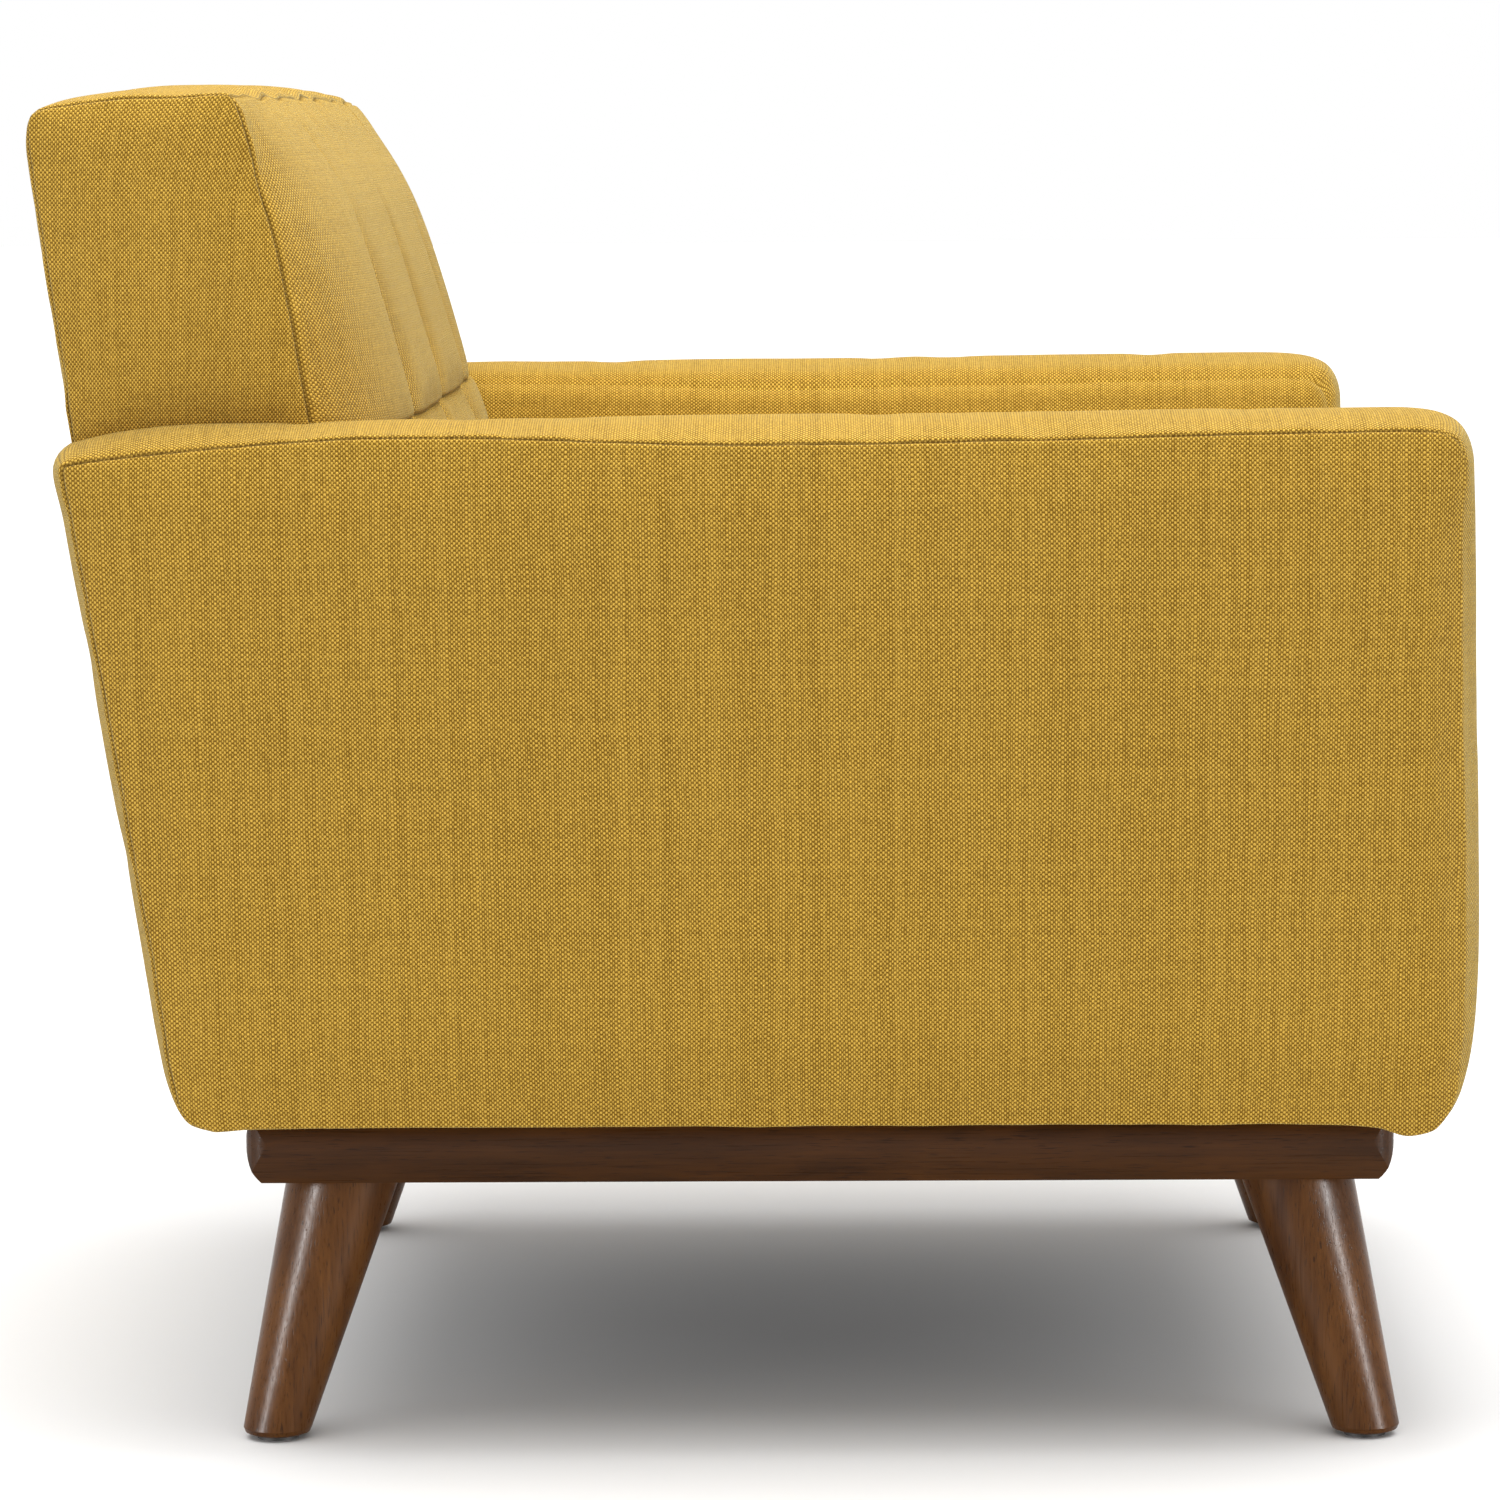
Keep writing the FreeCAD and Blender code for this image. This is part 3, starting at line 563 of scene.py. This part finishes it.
def build_back_upper():
    """The back above the arms. Its outline is the middle of the back from the side, in Y and Z."""
    knots = (
        (210.5, 634, 2.5), (300, 634), (405, 620, 4), (411, 672), (421, 743), (427.5, 788),
        (430.5, 826, 10), (402, 830), (368, 833.5), (333, 834),
        (300, 836, 7), (283.5, 813), (261.5, 780), (247, 748), (232, 704), (219, 661.5),
    )
    half = BACK_HALF - 2 * MM
    front = 212 * MM
    side_round = 52 * MM                        # how far from a side the front face curves back
    heights = [0.640, 0.779, 0.824, 0.84]
    curve_back = [0.262, 0.185, 0.085, 0.05]    # how much of the depth that takes, at each of these heights
    seam_y, seam_z, seam_reach = 302 * MM, 835 * MM, 22 * MM
    seam_sink = 1.5 * MM
    ripple = 1.1 * MM                           # of the seam, in two waves
    long_wave, short_wave = 119 * MM, 83 * MM
    calm_end = 30 * MM                          # how far from a side the top seam's ripples die out

    def place(y, z, across, lift):
        x = half - 2 * half * across
        rear = rear_y(z)
        share = np.clip((rear - y) / (rear - front), 0, 1)
        from_side = half - np.abs(x)
        back_off = (rear - y) * np.interp(z, heights, curve_back) * np.exp(-from_side / side_round)
        depth = channel_depth(x, z) * share ** 2
        at_seam = np.exp(-((y - seam_y) ** 2 + (z - seam_z) ** 2) / seam_reach ** 2)
        at_seam = at_seam * (1 - np.exp(-from_side / calm_end))
        scallop = np.cos(2 * np.pi * x / long_wave) + 0.7 * np.cos(2 * np.pi * x / short_wave + 1)
        z = z - at_seam * (ripple * scallop + seam_sink)
        y = y + back_off + depth - ripple * at_seam * scallop
        x = x + np.sign(x) * lift
        return as_points(x, y, z)

    return box_form("back_cover_upper", knots, place, 2 * half, 10 * MM, crown=(0, 5.5, 7.5, 0), bulge=(4, 4),
                    stations=channel_stations(half, 14 * MM), cross_seams=(3,), resting=(0,))


def build_back_lower():
    """The back between the arms, from the deck to the seam at the arms' height."""
    knots = (
        (178, 314, 10), (250, 314), (300, 314, 10), (330, 500), (372, 635, 8), (300, 635),
        (213.5, 635, 2.5), (204, 606), (195, 560), (188, 500), (185, 440), (181, 370),
    )
    mean_half = 345 * MM
    rear, deep = 330 * MM, 150 * MM
    side_back, side_round = 12 * MM, 18 * MM    # how far the front curves back at each side, and its reach

    def place(y, z, across, lift):
        half = lean_x(z) - ARM_THICK - 1 * MM
        x = half * (1 - 2 * np.asarray(across))
        share = np.clip((rear - y) / deep, 0, 1)
        from_side = half - np.abs(x)
        back_off = side_back * share * np.exp(-from_side / side_round)
        y = y + back_off + channel_depth(x, z) * share
        return as_points(x, y, z)

    return box_form("back_cover_lower", knots, place, 2 * mean_half, 12 * MM,
                    stations=channel_stations(mean_half, 15 * MM), resting=(0, 1, 2))


def build_back_outside():
    """The outside panel of the back, between the arms. Its outline is in X and Z."""
    knots = (
        (-309, 211, 8), (309, 211, 8), (338, 430), (365.5, 632, 8), (0, 633), (-365.5, 632, 8), (-338, 430),
    )
    set_in, deep = 3 * MM, 28 * MM

    def place(x, z, across, lift):
        y = rear_y(z) - set_in - deep * across + signed(lift, across)
        return as_points(x, y, z)

    return box_form("back_cover_outside", knots, place, deep, 13 * MM, crown=(0, 1, 0, 1), bulge=(4, 0))


def build_border():
    """The upholstered border under the front of the seat cushion."""
    knots = ((-318, 210.5, 4), (318, 210.5, 4), (330, 311, 6), (0, 312), (-330, 311, 6))
    front, deep = -431 * MM, 36 * MM

    def place(x, z, across, lift):
        y = front + deep * across - signed(lift, across)
        return as_points(x, y, z)

    return box_form("front_border_cover", knots, place, deep, 9 * MM, crown=(0, 0, 1, 0), bulge=(4.5, 0),
                    seams=(0, 1, 1, 1))


def build_deck():
    """The padded decking under the loose cushion."""
    knots = ((-322, -398, 3), (322, -398, 3), (322, 310, 12), (-322, 310, 12))
    low, high = 298.5 * MM, 311 * MM

    def place(x, y, across, lift):
        z = high + (low - high) * across + signed(lift, across)
        return as_points(x, y, z)

    return box_form("deck_cover", knots, place, high - low, 16 * MM, crown=(1, 1, 1, 1), bulge=(1.2, 0),
                    turned=())


def build_cushion():
    """The loose seat cushion: a crowned box whose sides pull in between its corners."""
    knots = (
        (-330, -426, 26), (-200, -422.5), (0, -421), (200, -422.5),
        (330, -426, 26), (327.5, -250), (326.5, -130), (327.5, 20),
        (330, 166, 20), (0, 163.5), (-330, 166, 20), (-327.5, 20), (-326.5, -130), (-327.5, -250),
    )
    low, high = 315 * MM, 436 * MM
    middle, half_high = 375 * MM, 60 * MM
    widening = 0.024        # how much wider the top is than the middle, because the arms lean out

    def place(x, y, across, lift):
        z = high + (low - high) * np.asarray(across) + signed(lift, across)
        wider = 1 + widening * (z - middle) / half_high
        return as_points(x * wider, y, z)

    return box_form("seat_cushion_cover", knots, place, high - low, 11 * MM, crown=(8, 4, 3, 4), bulge=(9, 0),
                    turned=(), edge_round=60 * MM)


def build_dust_cloth():
    """The thin dust cloth stretched under the seat, sagging a little between its tacks."""
    lo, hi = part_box("dust_cover")
    width, length = hi.x - lo.x, hi.y - lo.y
    count = 44
    gap = 0.2 * MM                              # below the top of the CAD cloth
    sag_depth, sag_power = 3.5 * MM, 0.7
    tack_count, tack_sag, tack_reach = 12, 0.5 * MM, 12 * MM
    u = np.linspace(0, 1, count + 1)
    x = lo.x + width * u[:, None]
    y = lo.y + length * u[None]
    sag = sag_depth * (np.sin(np.pi * u[:, None]) * np.sin(np.pi * u[None])) ** sag_power
    tacks = tack_sag * (1 - np.cos(2 * np.pi * tack_count * u))
    edge = np.exp(-np.minimum(u, 1 - u) * length / tack_reach)
    sag = sag + tacks[None] * edge[:, None] + tacks[:, None] * edge[None]
    grid = as_points(x, y, hi.z - gap - sag)
    ids = np.arange((count + 1) ** 2).reshape(count + 1, count + 1)
    faces, uv = [], []
    for i in range(count):
        for j in range(count):
            cell = ((i, j), (i, j + 1), (i + 1, j + 1), (i + 1, j))
            faces.append([int(ids[c]) for c in cell])
            uv.extend([grid[c][:2] for c in cell])
    piece = mesh_piece("dust_cloth", grid.reshape(-1, 3), faces, uv)
    piece.data.shade_smooth()
    return piece, (width, length)


# ---- materials ---------------------------------------------------------------------------------------------
class Graph:
    """A material's nodes, with short calls for the kinds that this scene uses."""

    def __init__(self, name):
        self.material = bpy.data.materials.new(name)
        self.material.use_nodes = True
        self.tree = self.material.node_tree
        self.tree.nodes.clear()
        self.shader = self.tree.nodes.new("ShaderNodeBsdfPrincipled")
        output = self.tree.nodes.new("ShaderNodeOutputMaterial")
        self.tree.links.new(self.shader.outputs["BSDF"], output.inputs["Surface"])

    def plug(self, socket, value):
        if isinstance(value, bpy.types.NodeSocket):
            self.tree.links.new(value, socket)
        elif isinstance(value, tuple) and len(value) == 3 and socket.type == "RGBA":
            socket.default_value = (*value, 1)
        else:
            socket.default_value = value

    def math(self, operation, a, b=0.0):
        node = self.tree.nodes.new("ShaderNodeMath")
        node.operation = operation
        self.plug(node.inputs[0], a)
        self.plug(node.inputs[1], b)
        return node.outputs[0]

    def add(self, a, b):
        return self.math("ADD", a, b)

    def times(self, a, b):
        return self.math("MULTIPLY", a, b)

    def join(self, x, y, z=0.0):
        node = self.tree.nodes.new("ShaderNodeCombineXYZ")
        for socket, value in zip(node.inputs, (x, y, z)):
            self.plug(socket, value)
        return node.outputs[0]

    def split(self, vector):
        node = self.tree.nodes.new("ShaderNodeSeparateXYZ")
        self.plug(node.inputs[0], vector)
        return node.outputs

    def weave_uv(self):
        node = self.tree.nodes.new("ShaderNodeUVMap")
        node.uv_map = "weave"
        return node.outputs[0]

    def place(self):
        """The point in the piece's own space, which at rest is the whole model's space."""
        return self.tree.nodes.new("ShaderNodeTexCoord").outputs["Object"]

    def attribute(self, name):
        node = self.tree.nodes.new("ShaderNodeAttribute")
        node.attribute_name = name
        return node.outputs["Fac"]

    def noise(self, vector, scale=1.0, detail=1.0, rough=0.5, flat=True):
        node = self.tree.nodes.new("ShaderNodeTexNoise")
        node.noise_dimensions = "2D" if flat else "3D"
        self.plug(node.inputs["Vector"], vector)
        self.plug(node.inputs["Scale"], scale)
        self.plug(node.inputs["Detail"], detail)
        self.plug(node.inputs["Roughness"], rough)
        return node.outputs[0]

    def speckle(self, vector):
        node = self.tree.nodes.new("ShaderNodeTexWhiteNoise")
        node.noise_dimensions = "2D"
        self.plug(node.inputs["Vector"], vector)
        return node.outputs["Value"]

    def between(self, value, low, high, to_low=0.0, to_high=1.0):
        node = self.tree.nodes.new("ShaderNodeMapRange")
        for socket, number in zip(node.inputs, (value, low, high, to_low, to_high)):
            self.plug(socket, number)
        return node.outputs[0]

    def mix(self, share, first, second):
        node = self.tree.nodes.new("ShaderNodeMix")
        node.data_type = "RGBA"
        sockets = {s.identifier: s for s in node.inputs}
        self.plug(sockets["Factor_Float"], share)
        self.plug(sockets["A_Color"], first)
        self.plug(sockets["B_Color"], second)
        return {s.identifier: s for s in node.outputs}["Result_Color"]

    def bump(self, height, distance, strength):
        node = self.tree.nodes.new("ShaderNodeBump")
        node.inputs["Distance"].default_value = distance
        node.inputs["Strength"].default_value = strength
        self.plug(node.inputs["Height"], height)
        self.tree.links.new(node.outputs[0], self.shader.inputs["Normal"])

    def set(self, **values):
        for name, value in values.items():
            self.plug(self.shader.inputs[name.replace("_", " ")], value)
        return self.material


def fabric_material():
    """A plain weave of uneven threads: nubs on a checkerboard, dark gaps between the upright threads, and
    seams darkened by a dark thread line and painted shade in their grooves."""
    g = Graph("mustard_weave")
    u, v, _ = g.split(g.weave_uv())
    sway = g.noise(g.join(u, v), scale=14, detail=2)
    spread = g.noise(g.join(g.times(u, 190), g.times(v, 5)))
    across = g.add(g.math("DIVIDE", u, UPRIGHT_THREAD), g.times(sway, 1.6))
    across = g.add(across, g.times(spread, 0.9))
    upward = g.add(g.math("DIVIDE", v, LEVEL_THREAD), g.times(sway, 1.2))
    wave_u = g.math("SINE", g.times(across, math.pi))
    wave_v = g.math("SINE", g.times(upward, math.pi))
    nub = g.times(wave_u, wave_v)
    upright_gap = g.math("SUBTRACT", 1.0, g.math("ABSOLUTE", wave_u))

    # each thread has its own tone, and each nub too
    upright_id = g.math("FLOOR", across)
    level_id = g.math("FLOOR", upward)
    upright_tone = g.speckle(g.join(upright_id, 7.0))
    level_tone = g.speckle(g.join(11.0, level_id))
    single = g.speckle(g.join(upright_id, level_id))
    slub = g.noise(g.join(g.times(upright_id, 3.37), g.times(v, 70)))
    patches = g.noise(g.join(u, v), scale=6, detail=2)

    # where the cloth lies between its dark and its light colour: the nubs, and everything that shifts them
    light = g.times(nub, g.between(single, 0, 1, 0.4, 1.0))
    shifts = (
        g.times(upright_gap, -0.6),
        g.between(single, 0, 1, -0.12, 0.12),
        g.between(upright_tone, 0, 1, -0.06, 0.06),
        g.between(level_tone, 0, 1, -0.035, 0.035),
        g.between(slub, 0.3, 0.7, -0.035, 0.035),
        g.between(patches, 0.3, 0.7, -0.01, 0.01),
        0.66,
    )
    for shift in shifts:
        light = g.add(light, shift)
    colour = g.mix(light, FABRIC_DARK, FABRIC_LIGHT)
    # the seams get a dark thread line and painted shade in their grooves
    seam_thread_and_shade = g.between(g.attribute("seam"), 0.15, 1.0, 0.0, 0.75)
    colour = g.mix(seam_thread_and_shade, colour, SEAM_THREAD_AND_SHADE)
    g.bump(g.add(g.math("ABSOLUTE", nub), g.times(slub, 0.6)), distance=0.42 * MM, strength=0.75)
    roughness = g.between(nub, -1, 1, 0.94, 0.8)
    return g.set(Base_Color=colour, Roughness=roughness, Specular_IOR_Level=0.05, Sheen_Weight=0.21,
                 Sheen_Roughness=0.4, Sheen_Tint=(0.8, 1.0, 0.7))


def cloth_material(name, dark, light, thread):
    """A thin plain cloth in object space, for pieces that have no weave coordinates of their own."""
    g = Graph(name)
    x, y, z = g.split(g.place())
    along = g.add(x, g.times(z, 0.6))
    other = g.add(y, g.times(z, 0.8))
    wave_u = g.math("SINE", g.times(along, math.pi / thread))
    wave_v = g.math("SINE", g.times(other, math.pi / thread))
    nub = g.times(wave_u, wave_v)
    blotch = g.noise(g.place(), scale=30, detail=3, rough=0.6, flat=False)
    light_share = g.add(g.between(nub, -1, 1, 0.2, 0.6), g.between(blotch, 0.3, 0.7, -0.06, 0.12))
    colour = g.mix(light_share, dark, light)
    g.bump(nub, distance=0.3 * MM, strength=0.5)
    return g.set(Base_Color=colour, Roughness=0.88, Specular_IOR_Level=0.2, Sheen_Weight=0.1)


def wood_material(name, axis, dark, light, pore, finish):
    """Wood with its grain along one axis: soft growth bands, fine fibres and short dark pores."""
    g = Graph(name)
    across = list(g.split(g.place()))
    run = across.pop(axis)

    def stretched(per_metre, along, bend=None):
        """The point scaled for a noise that is finer across the grain than along it."""
        first = g.times(across[0], per_metre)
        if bend is not None:
            first = g.add(first, bend)
        return g.join(first, g.times(across[1], per_metre), g.times(run, along))

    warp = g.noise(stretched(9, 5), detail=2, flat=False)
    bands = g.noise(stretched(55, 3.2, bend=g.times(warp, 5)), detail=3, rough=0.55, flat=False)
    fibre = g.noise(stretched(620, 16), detail=3, rough=0.6, flat=False)
    pores = g.noise(stretched(1150, 70), flat=False)
    pore_share = g.between(pores, 0.62, 0.72)
    share = g.add(g.between(bands, 0.3, 0.7, 0.05, 0.75), g.between(fibre, 0.3, 0.7, -0.16, 0.2))
    colour = g.mix(g.math("MINIMUM", g.math("MAXIMUM", share, 0.0), 1.0), dark, light)
    colour = g.mix(g.times(pore_share, 0.6), colour, pore)
    g.bump(g.math("SUBTRACT", g.times(fibre, 0.5), pore_share), distance=0.12 * MM, strength=0.35)
    roughness = g.between(fibre, 0.3, 0.7, finish["rough"] - 0.06, finish["rough"] + 0.08)
    return g.set(Base_Color=colour, Roughness=roughness, Specular_IOR_Level=finish["shine"])


def metal_material():
    g = Graph("zinc_steel")
    cloudy = g.noise(g.place(), scale=160, detail=4, rough=0.6, flat=False)
    colour = g.mix(g.between(cloudy, 0.3, 0.7), (0.42, 0.42, 0.43), (0.62, 0.61, 0.58))
    g.bump(cloudy, distance=0.05 * MM, strength=0.3)
    return g.set(Base_Color=colour, Metallic=1.0, Roughness=g.between(cloudy, 0.3, 0.7, 0.28, 0.46))


def plastic_material(name, colour, darker):
    g = Graph(name)
    grain = g.noise(g.place(), scale=900, detail=2, flat=False)
    scuffs = g.noise(g.place(), scale=90, detail=3, rough=0.6, flat=False)
    shade = g.mix(g.between(scuffs, 0.35, 0.7), darker, colour)
    g.bump(grain, distance=0.08 * MM, strength=0.4)
    return g.set(Base_Color=shade, Roughness=g.between(scuffs, 0.3, 0.7, 0.42, 0.6))


def webbing_material():
    """Elastic webbing: uneven strands with a rib across each strap."""
    g = Graph("webbing")
    x, _, z = g.split(g.place())
    ribs = g.math("SINE", g.times(g.add(x, z), math.pi / (1.6 * MM)))
    strands = g.noise(g.join(g.times(x, 400), g.times(z, 400)), detail=2)
    colour = g.mix(g.between(strands, 0.35, 0.65), (0.16, 0.12, 0.08), (0.42, 0.34, 0.24))
    colour = g.mix(g.between(ribs, -1, 1, 0, 0.3), colour, (0.10, 0.075, 0.05))
    g.bump(ribs, distance=0.3 * MM, strength=0.5)
    return g.set(Base_Color=colour, Roughness=0.8, Sheen_Weight=0.2)


def floor_material():
    g = Graph("pale_floor")
    uneven = g.noise(g.place(), scale=0.6, detail=3, flat=False)
    colour = g.mix(uneven, (0.72, 0.72, 0.72), (0.74, 0.74, 0.74))
    return g.set(Base_Color=colour, Roughness=0.9, Specular_IOR_Level=0.1)


def dress_nodes():
    """Gives every CAD node that shows its own material, by its material slot and the way its grain runs."""
    lacquer = {"rough": 0.31, "shine": 0.12}
    raw = {"rough": 0.72, "shine": 0.25}
    # the rails use the same walnut as the legs, in darker tones: painted shade from the arms that overhang
    # them
    rail_tones_with_painted_shade = (0.032, 0.0108, 0.0016), (0.080, 0.028, 0.0045)    # dark and light
    leg_tones = (0.056, 0.018, 0.003), (0.142, 0.053, 0.0095)
    pine_tones = (0.42, 0.27, 0.14), (0.66, 0.48, 0.29)
    walnut_pore, pine_pore = (0.008, 0.0025, 0.001), (0.30, 0.18, 0.09)
    walnut = [wood_material(f"walnut_{'xyz'[axis]}", axis, *tones, walnut_pore, lacquer)
              for axis, tones in enumerate((rail_tones_with_painted_shade, rail_tones_with_painted_shade, leg_tones))]
    timber = [wood_material(f"pine_{'xyz'[axis]}", axis, *pine_tones, pine_pore, raw) for axis in range(3)]
    plain = {
        "foam": cloth_material("seat_foam", (0.62, 0.56, 0.38), (0.86, 0.81, 0.63), 2.4 * MM),
        "webbing": webbing_material(),
        "steel": metal_material(),
        "glide_plastic": plastic_material("nylon_glide", (0.055, 0.045, 0.04), (0.03, 0.025, 0.022)),
        "zip": plastic_material("zip_nylon", (0.42, 0.27, 0.075), (0.30, 0.18, 0.045)),
    }
    woods = {"walnut": walnut, "frame_timber": timber}
    along_x = ("seat_rail", "back_top_rail", "back_lower_rail", "plinth_rail_front", "plinth_rail_rear")
    along_y = ("plinth_rail_left", "plinth_rail_right", "frame_dowels")
    for name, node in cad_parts.items():
        slot_name = node.data.materials[0].name.split(".")[0]
        if name.startswith(along_x):
            axis = 0
        elif name.startswith(along_y) or name.endswith(("bottom_rail", "top_rail")):
            axis = 1
        else:
            axis = 2
        new = woods[slot_name][axis] if slot_name in woods else plain.get(slot_name)
        if new is not None:
            node.data.materials[0] = new


# ---- room, lights and camera -------------------------------------------------------------------------------
def aim(thing, at):
    thing.rotation_euler = (Vector(at) - thing.location).to_track_quat("-Z", "Y").to_euler()


def add_light(name, place, at, size, power):
    lamp = bpy.data.lights.new(name, "AREA")
    lamp.shape = "RECTANGLE"
    lamp.size, lamp.size_y = size
    lamp.energy = power
    light = bpy.data.objects.new(name, lamp)
    bpy.context.scene.collection.objects.link(light)
    light.location = place
    aim(light, at)
    return light


def build_room():
    half = 40.0
    floor = mesh_piece("floor", [(-half, -half, 0), (half, -half, 0), (half, half, 0), (-half, half, 0)],
                       [[0, 1, 2, 3]])
    floor.data.materials.append(floor_material())
    world = bpy.data.worlds.new("studio")
    world.use_nodes = True
    background = world.node_tree.nodes["Background"]
    background.inputs["Color"].default_value = (1, 1, 1, 1)
    background.inputs["Strength"].default_value = 1.0
    scene = bpy.context.scene
    scene.world = world
    scene.view_settings.view_transform = "Standard"
    scene.view_settings.look = "None"
    sky = bpy.data.lights.new("overhead", "SUN")
    sky.energy = 2.6
    sky.angle = math.radians(70)
    overhead = bpy.data.objects.new("overhead", sky)
    scene.collection.objects.link(overhead)
    overhead.location = (-0.3, -0.1, 3.0)
    aim(overhead, (0, 0, 0))
    add_light("softbox", place=(-0.3, 0.05, 2.2), at=(0.05, 0, 0), size=(1.4, 1.4), power=27)
    for y in (2.1, -2.1):
        target = (-0.36, y / 7, 0.1)
        strip = add_light("gloss_strip", place=(-1.7, y, 0.9), at=target, size=(0.30, 1.5), power=150)
        strip.visible_diffuse = False       # it adds reflections only


def build_camera():
    camera = bpy.data.cameras.new("camera")
    camera.sensor_width = 36
    camera.lens = 134.5
    camera.clip_end = 200
    holder = bpy.data.objects.new("camera", camera)
    bpy.context.scene.collection.objects.link(holder)
    holder.location = (-3.78, -0.037, 0.8065)
    pitch, turn, roll = math.radians(6.22), math.radians(0.693), math.radians(0.35)
    ahead = Vector((math.cos(pitch) * math.cos(turn), math.cos(pitch) * math.sin(turn), -math.sin(pitch)))
    level = ahead.to_track_quat("-Z", "Y")
    holder.rotation_euler = (level @ Quaternion((0, 0, 1), -roll)).to_euler()
    bpy.context.scene.camera = holder


# ---- the whole scene ---------------------------------------------------------------------------------------
build_camera()
build_room()
dress_nodes()
fabric = fabric_material()

arm_left = pad(build_arm(1), cap=4, looseness=0.003, seed=1, floor=(BODY_BOTTOM, PLINTH_REACH))
arm_right = pad(build_arm(-1), cap=4, looseness=0.003, seed=2, floor=(BODY_BOTTOM, PLINTH_REACH))
back_upper = pad(build_back_upper(), cap=3, looseness=0.006, seed=3, puckers=0.35)
back_lower = pad(build_back_lower(), cap=3, looseness=0.006, seed=4)
back_outside = pad(build_back_outside(), cap=3, seed=5)
border = pad(build_border(), cap=4, seed=6)
deck = pad(build_deck(), cap=1, seed=7, puckers=0.2)
cushion = pad(build_cushion(), cap=12, seed=8, floor=(CUSHION_BOTTOM, HALF_WIDTH))
fill_all()
finish_all()

for side, cover in (("left", arm_left), ("right", arm_right)):
    parts = ("outer_pad", "inner_pad", "top_pad", "front_pad", "rear_panel")
    add_details(cover, "frame", [f"arm_{side}_{part}" for part in parts], fabric)
upper_parts = ["back_upper_foam", "back_top_pad", "back_side_pad_left", "back_side_pad_right"]
add_details(back_upper, "frame", upper_parts, fabric)
add_details(back_lower, "frame", ["back_lower_foam"], fabric)
add_details(back_outside, "frame", ["back_rear_panel"], fabric)
add_details(border, "frame", ["front_border"], fabric)
deck_cloth = cloth_material("deck_cloth", (0.22, 0.14, 0.04), (0.46, 0.32, 0.12), 0.9 * MM)
add_details(deck, "frame", ["deck_pad"], deck_cloth)
add_details(cushion, "seat_cushion", ["cushion_cover", "cushion_core"], fabric)

dust, dust_size = build_dust_cloth()
dust_material = cloth_material("dust_cloth", (0.012, 0.012, 0.013), (0.04, 0.04, 0.042), 1.4 * MM)
add_details(dust, "frame", ["dust_cover"], dust_material)
